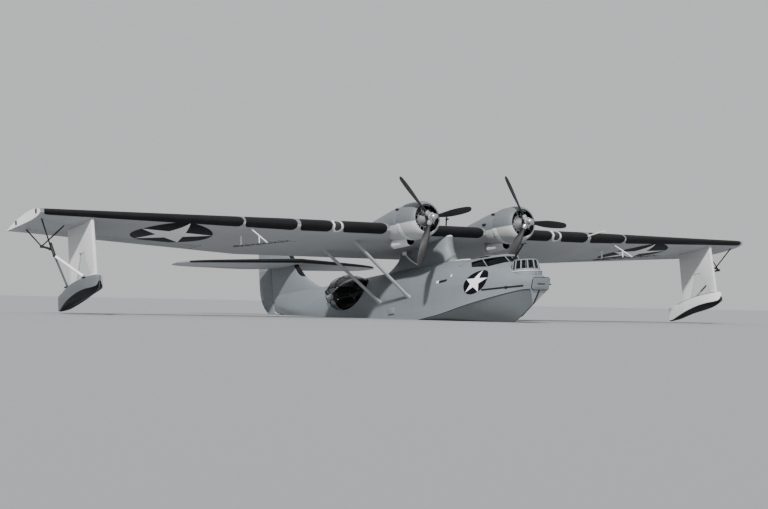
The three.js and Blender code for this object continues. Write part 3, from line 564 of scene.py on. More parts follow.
class ShaderBench:
    """A material's node tree with a Principled shader at its end."""

    SOCKETS = {
        "colour": "Base Color", "rough": "Roughness", "metal": "Metallic", "gloss": "Specular IOR Level",
        "refraction": "IOR", "opacity": "Alpha",
    }

    def __init__(self, name: str) -> None:
        """Makes the material and finds its shader.

        Args:
            name: name of the material.
        """
        self.material = bpy.data.materials.new(name)
        self.material.use_nodes = True
        self.tree = self.material.node_tree
        self.shader = self.tree.nodes["Principled BSDF"]

    def feed(self, socket: bpy.types.NodeSocket, value: Wire | float | Sequence[float]) -> None:
        """Links a wire to a socket, or sets the socket's own value."""
        if isinstance(value, Wire):
            self.tree.links.new(value.socket, socket)
        elif isinstance(value, (int, float)):
            socket.default_value = value
        else:
            socket.default_value = (*value, 1.0)[: len(socket.default_value)]

    def node(self, kind: str, **values: object) -> bpy.types.Node:
        """Adds a node of a kind and feeds its inputs by name.

        Args:
            kind: kind of node, without the common prefix.
            values: what each named input is fed.

        Returns:
            The node.
        """
        node = self.tree.nodes.new("ShaderNode" + kind)
        for name, value in values.items():
            self.feed(node.inputs[name], value)
        return node

    def surface(self, **values: object) -> None:
        """Feeds the shader's sockets, each named by a word of SOCKETS."""
        for word, value in values.items():
            self.feed(self.shader.inputs[self.SOCKETS[word]], value)

    def number(self, value: float) -> Wire:
        """Returns a constant to do arithmetic with.

        Args:
            value: the number.

        Returns:
            The value as a wire.
        """
        node = self.node("Math")
        node.operation = "ADD"
        node.inputs[0].default_value, node.inputs[1].default_value = value, 0.0
        return Wire(self, node.outputs[0])

    def hull_vector(self, stretch: Point = (1, 1, 1)) -> Wire:
        """Returns the Object coordinates turned into hull axes, and stretched.

        Args:
            stretch: factors along the three axes.

        Returns:
            The vector.
        """
        origin = Matrix.Rotation(TRIM, 3, "X") @ Vector((0, 0, DRAUGHT)) + Vector((0, STATION_AFLOAT, 0))
        local = Wire(self, self.node("TexCoord").outputs["Object"])
        level = self.node("Mapping", Rotation=(TRIM, 0, 0), Location=origin, Vector=local)
        if tuple(stretch) == (1, 1, 1):
            return Wire(self, level.outputs[0])
        scale = self.node("Mapping", Scale=stretch, Vector=Wire(self, level.outputs[0]))
        return Wire(self, scale.outputs[0])

    def hull_axes(self) -> tuple[Wire, Wire, Wire]:
        """Returns x, y and z in hull axes."""
        split = self.node("SeparateXYZ", Vector=self.hull_vector())
        return tuple(Wire(self, output) for output in split.outputs)

    def facing_up(self) -> Wire:
        """Returns the height component of the surface's own normal."""
        normal = Wire(self, self.node("TexCoord").outputs["Normal"])
        return Wire(self, self.node("SeparateXYZ", Vector=normal).outputs[2])

    def noise(self, scale: float, detail: float = 4.0, stretch: Point = (1, 1, 1)) -> Wire:
        """Returns a cloud pattern between 0 and 1 in hull axes."""
        node = self.node("TexNoise", Scale=scale, Detail=detail, Vector=self.hull_vector(stretch))
        return Wire(self, node.outputs["Fac"])

    def mix(self, share: Wire | float, low: Wire | Colour, high: Wire | Colour) -> Wire:
        """Returns a colour between two, by share.

        Args:
            share: 0 for the first colour, 1 for the second.
            low: the first colour.
            high: the second colour.

        Returns:
            The colour.
        """
        node = self.node("Mix")
        node.data_type = "RGBA"
        self.feed(node.inputs["Factor"], share)
        self.feed(node.inputs["A"], low)
        self.feed(node.inputs["B"], high)
        return Wire(self, node.outputs["Result"])

    def shaded(self, colour: Wire | Colour, value: Wire) -> Wire:
        """Returns a colour made lighter or darker by a factor."""
        return Wire(self, self.node("HueSaturation", Color=colour, Value=value).outputs["Color"])

    def relief(self, height: Wire, distance: float, strength: float = 1.0) -> None:
        """Feeds a height pattern to the shader's normal, after any earlier one.

        Args:
            height: the pattern.
            distance: height of its peaks in metres.
            strength: share of the effect.
        """
        node = self.node("Bump", Distance=distance, Strength=strength, Height=height)
        earlier = self.shader.inputs["Normal"].links
        if earlier:
            self.tree.links.new(earlier[0].from_socket, node.inputs["Normal"])
        self.tree.links.new(node.outputs["Normal"], self.shader.inputs["Normal"])

    def star(self, across: Wire, along: Wire, reach: float) -> tuple[Wire, Wire]:
        """Draws a five-pointed star inside a disc.

        Args:
            across: distance across from the disc's middle.
            along: distance from the middle towards the star's first point.
            reach: the disc's radius.

        Returns:
            The disc's mask and the star's mask.
        """
        blur = reach * 0.006
        radius = (across * across + along * along).root()
        disc = radius.below(reach, blur)
        folded = across.angle_to(along).wrapped(tau / 5)
        inner = 0.382 * reach
        tip = Vector((reach, 0.0))
        notch = Vector((inner * cos(pi / 5), inner * sin(pi / 5)))
        edge = (notch - tip).normalized()
        outer = radius * folded.cosine() * -edge.y + radius * folded.sine() * edge.x
        return disc, outer.above(-edge.y * reach, blur) * disc


class Split(Enum):
    """Where a painted skin changes from its upper to its lower colour."""

    NONE = "one colour"
    UNDERSIDE = "faces that look down"
    THRUST_LINE = "below the thrust line"
    KEEL_SIDE = "hull bottom under the chine"


@dataclass(frozen=True)
class StarDisc:
    """A star in a disc, laid on the skin seen square from above or from the side.

    The two spans are the ways, in metres, from the disc's middle to its rim: one along the star's arms and
    one towards its first point. From above their parts are x and y, from the side y and z.
    """

    from_above: bool
    middle: tuple[float, float]
    level_span: tuple[float, float]
    point_span: tuple[float, float]

    def masks(self, bench: ShaderBench, x: Wire, y: Wire, z: Wire) -> tuple[Wire, Wire]:
        """Returns the masks of the disc and of the star.

        Args:
            bench: the material's bench.
            x: coordinate across.
            y: coordinate fore and aft.
            z: height.

        Returns:
            Disc and star, each 1 inside.
        """
        first, second = (x.size(), y) if self.from_above else (y, z)
        first, second = first - self.middle[0], second - self.middle[1]
        spans = Matrix((self.level_span, self.point_span)).transposed().inverted()
        across, along = (first * row[0] + second * row[1] for row in spans)
        return bench.star(across, along, 1.0)


BLUE_GREY: Colour = (0.180, 0.200, 0.216)
LIGHT_GREY: Colour = (0.40, 0.41, 0.415)
INSIGNIA_DARK: Colour = (0.003, 0.004, 0.007)
INSIGNIA_WHITE: Colour = (0.90, 0.90, 0.89)


@dataclass(frozen=True)
class Finish:
    """A surface finish and the record's slot for it; each kind builds its own nodes."""

    name: str
    slot: str = field(default="dark_steel", kw_only=True)

    def build(self) -> bpy.types.Material:
        """Makes the material.

        Returns:
            The finished material.
        """
        bench = ShaderBench(self.name)
        self.dress(bench)
        return bench.material

    def dress(self, bench: ShaderBench) -> None:
        """Adds the nodes of this kind of finish."""
        raise NotImplementedError


@dataclass(frozen=True)
class AircraftPaint(Finish):
    """Matt aircraft paint over riveted sheet, with panel joints, streaks and worn patches."""

    upper: Colour = BLUE_GREY
    lower: Colour = LIGHT_GREY
    split: Split = Split.NONE
    rib_pitch: float = 0.6
    stringer_pitch: float = 0.24
    ribs_across: bool = False
    stars: tuple[StarDisc, ...] = ()
    wear: float = 0.16
    slot: str = field(default="topside_paint", kw_only=True)

    def seams(self, bench: ShaderBench, x: Wire, y: Wire, z: Wire) -> tuple[Wire, Wire]:
        """Returns the masks of the sheet joints and of the rivet rows.

        Args:
            bench: the material's bench.
            x: coordinate across.
            y: coordinate fore and aft.
            z: height.

        Returns:
            Joints and rivets, each 1 on the mark.
        """
        long_way, short_way = (x, y) if self.ribs_across else (y, z)
        joint = (long_way.size().wrapped(self.rib_pitch * 2)).below(0.006, 0.006)
        lap = (short_way.size().wrapped(self.stringer_pitch * 4)).below(0.005, 0.006)
        row = (short_way.size().wrapped(self.stringer_pitch)).below(0.007, 0.004)
        dots = (long_way.size().wrapped(0.06)).below(0.008, 0.006)
        return joint.most(lap), row * dots

    def dress(self, bench: ShaderBench) -> None:
        """Adds paint colours, insignia, joints, rivets and weather.

        Args:
            bench: the material's bench.
        """
        x, y, z = bench.hull_axes()
        colour: Wire = bench.mix(0.0, self.upper, self.upper)
        if self.split is Split.UNDERSIDE:
            colour = bench.mix(bench.facing_up().below(-0.04, 0.06), self.upper, self.lower)
        elif self.split is Split.THRUST_LINE:
            edge = z + bench.noise(6.0, 1.0) * 0.03
            colour = bench.mix(edge.below(3.995, 0.03), self.upper, self.lower)
        elif self.split is Split.KEEL_SIDE:
            colour = bench.mix(bench.facing_up().below(-0.25, 0.1), self.upper, self.lower)
        patches = bench.noise(0.9, 5.0)
        streaks = bench.noise(2.2, 4.0, (1.6, 0.25, 1.6))
        fine = bench.noise(24.0, 3.0)
        value = patches * self.wear + streaks * self.wear + fine * (self.wear * 0.35)
        joint, rivets = self.seams(bench, x, y, z)
        value = value + (1.0 - self.wear * 1.17) - joint * 0.10 - rivets * 0.07
        for decal in self.stars:
            disc, star = decal.masks(bench, x, y, z)
            colour = bench.mix(disc, colour, INSIGNIA_DARK)
            bench.surface(gloss=disc * -0.2 + 0.3)
            colour = bench.mix(star, colour, INSIGNIA_WHITE)
        bench.surface(colour=bench.shaded(colour, value), rough=patches * 0.22 + 0.44)
        bench.relief(bench.number(1.0) - joint, 0.004, 0.5)
        bench.relief(rivets + fine * 0.12, 0.002, 0.4)


@dataclass(frozen=True)
class DopedFabric(Finish):
    """Doped cloth over ribs: raised rib tapes, slack bays and a fine weave."""

    colour: Colour = BLUE_GREY
    lower: Colour = LIGHT_GREY
    rib_pitch: float = 0.36
    ribs_along_z: bool = False
    slot: str = field(default="fabric_cover", kw_only=True)

    def dress(self, bench: ShaderBench) -> None:
        """Adds the tapes, the sag between ribs and the weave.

        Args:
            bench: the material's bench.
        """
        x, _, z = bench.hull_axes()
        span = (z if self.ribs_along_z else x).size()
        bay = span.wrapped(self.rib_pitch)
        tape = bay.below(0.03, 0.008)
        slack = (bay * (pi / self.rib_pitch)).sine()
        colour = bench.mix(0.0, self.colour, self.colour)
        if not self.ribs_along_z:
            colour = bench.mix(bench.facing_up().below(-0.04, 0.06), self.colour, self.lower)
        cloud = bench.noise(1.3, 4.0)
        value = cloud * 0.22 + 0.86 + tape * 0.05 - bench.noise(60.0, 2.0) * 0.05
        bench.surface(colour=bench.shaded(colour, value), rough=0.72)
        bench.relief(bench.number(1.0) - slack, 0.02, 0.6)
        bench.relief(tape, 0.002, 0.8)
        bench.relief(bench.noise(240.0, 1.0), 0.001, 0.25)


@dataclass(frozen=True)
class PlainPaint(Finish):
    """Paint on a small fitting, with dust and rubbed patches."""

    colour: Colour = (0.7, 0.7, 0.69)
    rough: float = 0.5
    metal: float = 0.0
    soil: float = 0.25
    gloss: float = 0.5

    def dress(self, bench: ShaderBench) -> None:
        """Adds mottled colour and roughness and a slight orange-peel surface.

        Args:
            bench: the material's bench.
        """
        cloud = bench.noise(3.5, 5.0)
        grain = bench.noise(40.0, 2.0)
        value = cloud * self.soil + grain * (self.soil * 0.4) + (1.0 - self.soil * 0.7)
        bench.surface(colour=bench.shaded(self.colour, value), rough=cloud * 0.25 + (self.rough - 0.12))
        bench.surface(metal=self.metal, gloss=self.gloss)
        bench.relief(grain, 0.001, 0.3)


@dataclass(frozen=True)
class BootRubber(Finish):
    """Black de-icing rubber with spanwise air tubes."""

    def dress(self, bench: ShaderBench) -> None:
        """Adds the tubes, a dusty bloom and a dull sheen.

        Args:
            bench: the material's bench.
        """
        bloom = bench.noise(2.0, 5.0)
        colour = bench.mix(bloom, (0.004, 0.004, 0.005), (0.014, 0.014, 0.015))
        bench.surface(colour=colour, rough=bloom * 0.3 + 0.45, gloss=0.16)
        _, y, z = bench.hull_axes()
        bench.relief((y + z).wrapped(0.07), 0.01, 0.5)


@dataclass(frozen=True)
class Acrylic(Finish):
    """Window sheet, faintly scratched, half see-through and tinted near-black as painted shade for the dark
    inside behind it.
    """

    shade_tint: Colour = (0.008, 0.010, 0.011)
    clear: float = 0.5
    refraction: float = 1.49
    gloss: float = 0.14
    slot: str = field(default="glazing", kw_only=True)

    def dress(self, bench: ShaderBench) -> None:
        """Makes the shader see-through with a sharp gloss.

        Args:
            bench: the material's bench.
        """
        bench.material.surface_render_method = "BLENDED"
        bench.surface(colour=self.shade_tint, rough=bench.noise(9.0, 3.0) * 0.08 + 0.02)
        bench.surface(refraction=self.refraction, opacity=1.0 - self.clear, gloss=self.gloss)


class Palette:
    """The finishes of the flying boat, each made once."""

    hull = AircraftPaint(
        "hull_paint",
        split=Split.KEEL_SIDE,
        lower=(0.19, 0.205, 0.215),
        stars=(StarDisc(False, (2.717, 1.732), (-0.473, -0.021), (-0.160, 0.409)),),
    )
    skin = AircraftPaint("airframe_paint")
    wing = AircraftPaint(
        "wing_paint",
        split=Split.UNDERSIDE,
        rib_pitch=0.65,
        ribs_across=True,
        stars=(StarDisc(True, (10.26, 7.54), (1.40, 0.0), (0.0, -1.40)),),
    )
    cowl = AircraftPaint(
        "cowl_paint", (0.145, 0.160, 0.172), (0.52, 0.53, 0.53), Split.THRUST_LINE, rib_pitch=0.9,
        stringer_pitch=0.6, wear=0.12,
    )
    tail = AircraftPaint("tail_paint", split=Split.UNDERSIDE, rib_pitch=0.55, ribs_across=True)
    light = AircraftPaint("light_paint", upper=(0.82, 0.82, 0.81), rib_pitch=0.5)
    strut = AircraftPaint("strut_paint", upper=(0.36, 0.37, 0.375), rib_pitch=0.8)
    under = AircraftPaint("under_paint", upper=LIGHT_GREY, rib_pitch=0.5)
    float = AircraftPaint(
        "float_paint", upper=(0.72, 0.72, 0.71), rib_pitch=0.42, stringer_pitch=0.18, slot="underside_paint"
    )
    float_outboard = AircraftPaint(
        "float_outboard_paint", upper=(0.115, 0.125, 0.135), rib_pitch=0.42, wear=0.3,
        slot="underside_paint",
    )
    panel = AircraftPaint(
        "panel_paint", upper=(0.68, 0.68, 0.67), rib_pitch=0.4, stringer_pitch=0.3, slot="white_paint"
    )
    lens = PlainPaint("lamp_lens", (0.02, 0.021, 0.023), 0.2, 0.0, 0.1, slot="glazing")
    fabric = DopedFabric("doped_fabric")
    rudder_fabric = DopedFabric("rudder_fabric", ribs_along_z=True)
    white = PlainPaint("white_rods", (0.86, 0.86, 0.85), slot="white_paint")
    # Near-black paint for the float brace's knee and upper rods: painted shade, as the brace is white.
    shaded_brace_rods = PlainPaint("brace_grey", (0.022, 0.023, 0.025), 0.5, 0.0, 0.3, 0.2)
    aerial = PlainPaint("aerial_grey", (0.07, 0.073, 0.076), 0.5, 0.0, 0.3, 0.2)
    boot = BootRubber("boot_rubber")
    glass = Acrylic("window_acrylic")
    bare = PlainPaint("bare_metal", (0.62, 0.62, 0.63), 0.28, 1.0, 0.15, slot="engine_metal")
    engine = PlainPaint("engine_grey", (0.34, 0.34, 0.345), 0.4, 0.5, 0.4, slot="engine_metal")
    fins = PlainPaint("cylinder_fins", (0.30, 0.30, 0.30), 0.45, 0.5, 0.4, slot="engine_metal")
    blade = PlainPaint("blade_black", (0.014, 0.014, 0.015), 0.5, 0.0, 0.4, 0.25, slot="blade_paint")
    dark = PlainPaint("dark_steel", (0.012, 0.012, 0.013), 0.5, 0.0, 0.4, 0.25)
    # The cabin paint is near-black: painted shade for the dark inside of the hull, the cockpit, the turret
    # well, the waist compartment, the seats and the instrument board.
    cabin = PlainPaint("cabin_green", (0.006, 0.007, 0.006), 0.7, 0.0, 0.3, 0.1, slot="cabin_paint")
    leather = PlainPaint("seat_leather", (0.05, 0.04, 0.035), 0.6, 0.0, 0.4, slot="cabin_paint")
    # Near-black paint under the floats' chines.
    dark_bottom = PlainPaint("float_bottom", (0.006, 0.006, 0.007), 0.4, 0.0, 0.5, 0.2)

    _made: dict[str, bpy.types.Material] = {}

    @classmethod
    def material(cls, finish: Finish) -> bpy.types.Material:
        """Returns a finish's material and makes it the first time."""
        if finish.name not in cls._made:
            cls._made[finish.name] = finish.build()
        return cls._made[finish.name]


def deliver(
    made: Piece | Sequence[Piece],
    name: str,
    finish: Finish,
    body: str = AIRFRAME,
    replaces: Iterable[str] = (),
    smooth: float = 32.0,
    slot: str = "",
) -> None:
    """Names and dresses a piece made in hull axes, floats it and fastens it to its body.

    Args:
        made: the finished mesh, or several to be joined.
        name: the piece's name.
        finish: its surface.
        body: the body that it moves with.
        replaces: nodes of the frame that it stands for.
        smooth: faces that meet at less than this angle are shaded as one.
        slot: the record's material slot, where it isn't the finish's own; not used.
    """
    piece = made if isinstance(made, Piece) else joined(made)
    piece.name = piece.data.name = name
    if not piece.data.materials:
        piece.data.materials.append(Palette.material(finish))
    pick(piece)
    bpy.ops.object.shade_smooth_by_angle(angle=radians(smooth))
    piece.data.transform(AFLOAT)
    piece.data.update()
    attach(piece, body)
    slot or finish.slot
    if replaces:
        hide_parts(*replaces)
    LOG.info("%s rides on %s with %d faces", name, body, len(piece.data.polygons))


def finish_faces(
    piece: Piece, finishes: Sequence[Finish], chosen: Callable[[Vector, Vector], int]
) -> None:
    """Gives each face one of several finishes, picked by its middle and normal.

    Args:
        piece: the piece to finish.
        finishes: the finishes to choose from.
        chosen: gives the number of a finish for a face's middle and normal.
    """
    piece.data.materials.clear()
    for finish in finishes:
        piece.data.materials.append(Palette.material(finish))
    for face in piece.data.polygons:
        face.material_index = int(chosen(face.center, face.normal))


# Hull


class Station(NamedTuple):
    """Hull section: y, keel height, chine, widest point of the side, deck height, roundness of the deck."""

    y: float
    keel: float
    chine_x: float
    chine_z: float
    side_x: float
    side_z: float
    deck: float
    round: float


FOREBODY = (
    Station(0.45, 1.120, 0.330, 1.300, 0.355, 1.460, 1.670, 3.2),
    Station(0.62, 1.040, 0.370, 1.300, 0.400, 1.480, 1.740, 2.8),
    Station(1.00, 0.835, 0.540, 1.297, 0.560, 1.540, 1.930, 2.3),
    Station(1.90, 0.395, 0.950, 1.168, 0.930, 1.580, 2.330, 2.0),
    Station(3.00, 0.170, 1.330, 0.988, 1.260, 1.560, 2.560, 2.0),
    Station(4.60, 0.050, 1.530, 0.760, 1.450, 1.520, 2.760, 2.2),
    Station(7.90, 0.000, 1.550, 0.620, 1.480, 1.500, 2.800, 2.3),
)
AFTERBODY = (
    Station(7.90, 0.150, 1.540, 0.720, 1.480, 1.500, 2.800, 2.3),
    Station(10.20, 0.350, 1.390, 0.850, 1.400, 1.520, 2.800, 2.3),
    Station(12.40, 0.590, 1.130, 1.010, 1.210, 1.600, 2.800, 2.2),
)
TAIL_CONE = (
    Station(12.40, 0.700, 1.080, 1.080, 1.210, 1.600, 2.800, 2.2),
    Station(14.20, 1.080, 0.780, 1.340, 0.940, 1.780, 2.810, 2.0),
    Station(16.20, 1.620, 0.400, 1.780, 0.540, 2.100, 2.840, 2.0),
    Station(17.95, 2.150, 0.060, 2.220, 0.090, 2.450, 2.880, 2.0),
)


def row_at(rows: Sequence[Row], place: float) -> Row:
    """Returns the row of a table at a place along it, through a smooth curve.

    Args:
        rows: named tuples whose first value is the place.
        place: where the values are wanted.

    Returns:
        A named tuple of the same kind.
    """
    last = len(rows) - 1
    i = min(max(sum(1 for row in rows if row[0] <= place) - 1, 0), last - 1)
    a, b, c, d = rows[max(i - 1, 0)], rows[i], rows[i + 1], rows[min(i + 2, last)]
    span = c[0] - b[0]
    t = (place - b[0]) / span
    values = []
    for column in range(1, len(b)):
        into = (c[column] - a[column]) / (c[0] - a[0]) * span
        out = (d[column] - b[column]) / (d[0] - b[0]) * span
        values.append(
            (2 * t**3 - 3 * t**2 + 1) * b[column]
            + (t**3 - 2 * t**2 + t) * into
            + (3 * t**2 - 2 * t**3) * c[column]
            + (t**3 - t**2) * out
        )
    return type(b)(place, *values)


@dataclass
class Hull:
    """The planing hull with its blunt nose, cockpit pit, turret well and waist compartment."""

    deck_steps: int = 16
    bottom_steps: int = 4
    turret_y: float = 1.33
    turret_base: float = 1.975
    well: float = 0.475
    skirt: float = 0.535
    well_floor: float = 1.48
    cockpit_floor: float = 1.50
    ledge_lines: Profile = ((-0.01, -0.03), (0.016, -0.024), (0.018, -0.004), (-0.02, 0.003))
    guard_z: float = 1.437
    deck_rail_x: float = 0.3
    waist: tuple[float, float, float, float, float] = (1.0, 9.8, 11.9, 1.28, 2.56)
    window_top: tuple[float, float] = (0.515, 1.66)
    window_foot: tuple[float, float] = (0.65, 1.30)
    stem: tuple[float, float] = (1.01, 0.86)
    sections: tuple[str, ...] = ("hull_bow", "hull_cockpit", "hull_midships", "hull_waist", "hull_tail")

    def half_section(self, s: Station) -> list[tuple[float, float]]:
        """Returns the port half of a section, from keel to deck.

        Args:
            s: sizes of the section.

        Returns:
            Pairs of half width and height.
        """
        points = [
            (s.chine_x * t, s.keel + (s.chine_z - s.keel) * (t * 0.82 + t * t * 0.18))
            for t in (i / self.bottom_steps for i in range(self.bottom_steps + 1))
        ]
        points += [
            (s.chine_x + (s.side_x - s.chine_x) * t, s.chine_z + (s.side_z - s.chine_z) * t)
            for t in (0.33, 0.67)
        ]
        for i in range(self.deck_steps + 1):
            turn = i / self.deck_steps * pi / 2
            across = s.side_x * abs(cos(turn)) ** (2 / s.round)
            points.append((across, s.side_z + (s.deck - s.side_z) * sin(turn) ** (2 / s.round)))
        points[-1] = (0.0, s.deck)
        return points

    def ring(self, s: Station) -> Ring:
        """Returns a whole section."""
        half = self.half_section(s)
        return [(x, s.y, z) for x, z in half] + [(-x, s.y, z) for x, z in reversed(half[1:-1])]

    def stations(self) -> list[Station]:
        """Returns every section from the bow to the tail, two at each step.

        Returns:
            The sections in order.
        """
        places = []
        for run, count, power in ((FOREBODY, 40, 1.5), (AFTERBODY, 10, 1.0), (TAIL_CONE, 14, 1.0)):
            start, end = run[0].y, run[-1].y
            places += [row_at(run, start + (end - start) * (i / count) ** power) for i in range(count + 1)]
        return places

    def nose_block(self) -> Piece:
        """Returns the block ahead of the window's plane and of the flat face under it.

        Returns:
            A block to cut with.
        """
        (top_y, top_z), (foot_y, foot_z), (stem_y, stem_z) = self.window_top, self.window_foot, self.stem
        lean, rake = (foot_y - top_y) / (top_z - foot_z), (stem_y - foot_y) / (foot_z - stem_z)
        profile = [
            (-1.0, 2.4),
            (top_y - lean * (2.4 - top_z), 2.4),
            (foot_y, foot_z),
            (stem_y + rake * (stem_z + 0.5), -0.5),
            (-1.0, -0.5),
        ]
        return skin([[(x, y, z) for y, z in profile] for x in (-1.5, 1.5)])

    def inside(self, centre: Vector, normal: Vector) -> bool:
        """Tells whether a face belongs to the well, the cockpit pit or the waist compartment.

        Args:
            centre: middle of the face.
            normal: its direction.

        Returns:
            True inside the hull.
        """
        half, front, rear, floor, roof = self.waist
        near = 0.004
        in_plan = front - near < centre.y < rear + near and abs(centre.x) < half + near
        if in_plan and floor - near < centre.z < roof + near:
            return True
        out = Vector((centre.x, centre.y - self.turret_y))
        if out.length < self.well + near and centre.z < 2.3 and centre.z > self.well_floor - near:
            return normal.z > 0.5 or Vector((normal.x, normal.y)).dot(out) < 0
        canopy = Canopy()
        return centre.z > self.cockpit_floor - near and canopy.covers(centre, near)

    def coat(self, centre: Vector, normal: Vector) -> int:
        """Returns 1 inside the hull, where the near-black cabin paint is painted shade, 2 on the
        forward-facing flat face under the bow window, which takes the lighter strut grey, and 0 elsewhere.

        Args:
            centre: middle of the face.
            normal: its direction.

        Returns:
            Number of the finish.
        """
        ahead = normal.y < -0.6 and centre.y < self.stem[0] + 0.05
        stem_face = ahead and self.stem[1] < centre.z < self.window_foot[1]
        return 2 if stem_face else int(self.inside(centre, normal))

    def trim_lines(self) -> None:
        """Builds the chine strips, the keel strip and the slim guard rails at the bow."""
        lines = []
        for side, _ in SIDES:
            chine = [row_at(FOREBODY, 0.66 + (7.86 - 0.66) * i / 26) for i in range(27)]
            lines.append(pipe([(side * s.chine_x, s.y, s.chine_z) for s in chine], 0.012, 6))
            rail = [row_at(FOREBODY, 0.88 + 1.53 * i / 10) for i in range(11)]
            route = [(side * (self.side_at(s, self.guard_z)[0] + 0.012), s.y, self.guard_z) for s in rail]
            lines.append(pipe(route, 0.027, 8))
            lines.append(block((0.06, 0.1, 0.085), route[4], 0.012))
        keel = [row_at(FOREBODY, 1.0 + 6.9 * i / 30) for i in range(31)]
        lines.append(pipe([(0.0, s.y, s.keel + 0.013) for s in keel[2:]], 0.014, 6))
        lines.append(
            pipe(
                [(0.0, 0.665, 1.275), (0.0, 0.995, 0.87), (0.0, keel[3].y, keel[3].keel + 0.012)], 0.024, 8
            )
        )
        deliver(lines, "hull_strips", Palette.dark)

    def bow_window(self) -> None:
        """Builds the framed bow window with its sliding cover and slot."""
        (top_y, top_z), (foot_y, foot_z) = self.window_top, self.window_foot
        up = Vector((0, top_y - foot_y, top_z - foot_z))
        tall, up = up.length, up.normalized()
        out = Vector((0, -up.z, up.y))
        place = Matrix((Vector((1, 0, 0)), out, up)).transposed().to_4x4()
        place.translation = Vector((0, foot_y, foot_z)) + up * (tall * 0.5)
        wide, high = 0.71, tall * 1.08
        # A near-black plate a little larger than the frame shows as a dark rim round it.
        dark_rim = tablet(wide + 0.045, high + 0.045, 0.016, 0.12)
        frame = tablet(wide, high, 0.034, 0.10, 0.012)
        cover = bent(tablet(wide - 0.15, high - 0.14, 0.008, 0.06), Matrix.Translation((0, 0.034, 0)))
        deliver([bent(frame, place), bent(cover, place)], "bow_window", Palette.skin)
        slot = block((0.31, 0.01, 0.034), (0, 0.043, 0.0), 0.004)
        hinge = pipe([(-wide * 0.38, 0.03, -high * 0.42), (wide * 0.38, 0.03, -high * 0.42)], 0.006, 8)
        cleat = block((0.11, 0.05, 0.035), (wide / 2 + 0.05, 0.0, -0.02), 0.012)
        parts = [bent(part, place) for part in (dark_rim, slot, hinge, cleat)]
        deliver(parts, "bow_window_fittings", Palette.dark)

    def side_fittings(self) -> None:
        """Builds the slotted foot plates, their white guards and the small side lights."""
        lights, darks = [], []
        for side, _ in SIDES:
            for start, end, z, rise, wide, into in (
                (4.10, 4.50, 1.935, 0.03, 0.042, darks),
                (4.54, 4.66, 1.93, 0.0, 0.05, lights),
                (3.92, 3.97, 2.09, 0.0, 0.055, lights),
            ):
                x, lean = self.side_at(row_at(FOREBODY, (start + end) / 2), z)
                plate = block((0.03, end - start, wide * 2), (0, 0, 0), 0.012)
                bent(plate, Matrix.Rotation(-rise / (end - start), 4, "X"))
                yaw = self.side_at(row_at(FOREBODY, end), z)[0] - self.side_at(row_at(FOREBODY, start), z)[0]
                lay = Matrix.Rotation(-side * yaw / (end - start), 4, "Z")
                place = Matrix.Translation((side * x, (start + end) / 2, z))
                into.append(bent(plate, place @ lay @ Matrix.Rotation(side * lean, 4, "Y")))
            rail = [row_at(FOREBODY, y) for y in (4.10, 4.50, 4.94)]
            lights.append(pipe([self.deck_at(s, side * self.deck_rail_x) for s in rail], 0.026, 8))
        deliver(lights, "side_lights", Palette.white)
        deliver(darks, "foot_slots", Palette.dark)

    def deck_at(self, s: Station, x: float) -> Point:
        """Returns the point of a section's round deck at a place across."""
        rise = (1 - (abs(x) / s.side_x) ** s.round) ** (1 / s.round)
        return x, s.y, s.side_z + (s.deck - s.side_z) * rise

    def side_at(self, s: Station, z: float) -> tuple[float, float]:
        """Returns the half width of a section at a height, and how far its side leans inwards there.

        Args:
            s: sizes of the section.
            z: the height.

        Returns:
            Half width and lean.
        """
        half = [p for p in self.half_section(s) if p[1] >= s.chine_z]
        for (x0, z0), (x1, z1) in zip(half, half[1:]):
            if z0 <= z <= z1:
                t = (z - z0) / max(z1 - z0, 1e-6)
                return x0 + (x1 - x0) * t, -atan2(x0 - x1, z1 - z0)
        return s.side_x, 0.0

    def build(self) -> None:
        """Builds the shell, its openings and what is fixed to it."""
        body = skin([self.ring(s) for s in self.stations()])
        low, top = self.well_floor, self.turret_base
        skirt = upright_spun(
            [(0, low), (self.skirt + 0.025, low), (self.skirt, top), (0, top)], 0, self.turret_y
        )
        carve(body, skirt, operation="UNION")
        well = upright_spun(
            [
                (0, low), (self.well, low), (self.well, top), (self.skirt - 0.03, top + 0.0005),
                (self.skirt - 0.03, 2.6), (0, 2.6),
            ],
            0, self.turret_y,
        )
        half, front, rear, floor, roof = self.waist
        room = block((2 * half, rear - front, roof - floor), (0, (front + rear) / 2, (floor + roof) / 2))
        carve(
            body, well, Canopy().pit(self.cockpit_floor), room,
            *(Blister(side).hole() for side, _ in SIDES), self.nose_block(),
        )
        # Faces inside the hull take the near-black cabin paint as painted shade.
        finish_faces(body, (Palette.hull, Palette.cabin, Palette.strut), self.coat)
        deliver(body, "hull_shell", Palette.hull, replaces=self.sections, smooth=28)
        # The turret ledge takes the light paint as a painted highlight round its rim.
        ledge = [(self.skirt + out, top + up) for out, up in self.ledge_lines]
        deliver(upright_spun(ledge, 0, self.turret_y, 64, True), "turret_ledge", Palette.light)
        self.trim_lines()
        self.bow_window()
        self.side_fittings()


# Cockpit


class CanopyPost(NamedTuple):
    """Half outline of the canopy: places on the sill and on the roof edge that belong together."""

    sill_x: float
    sill_y: float
    sill_z: float
    roof_x: float
    roof_y: float
    roof_z: float


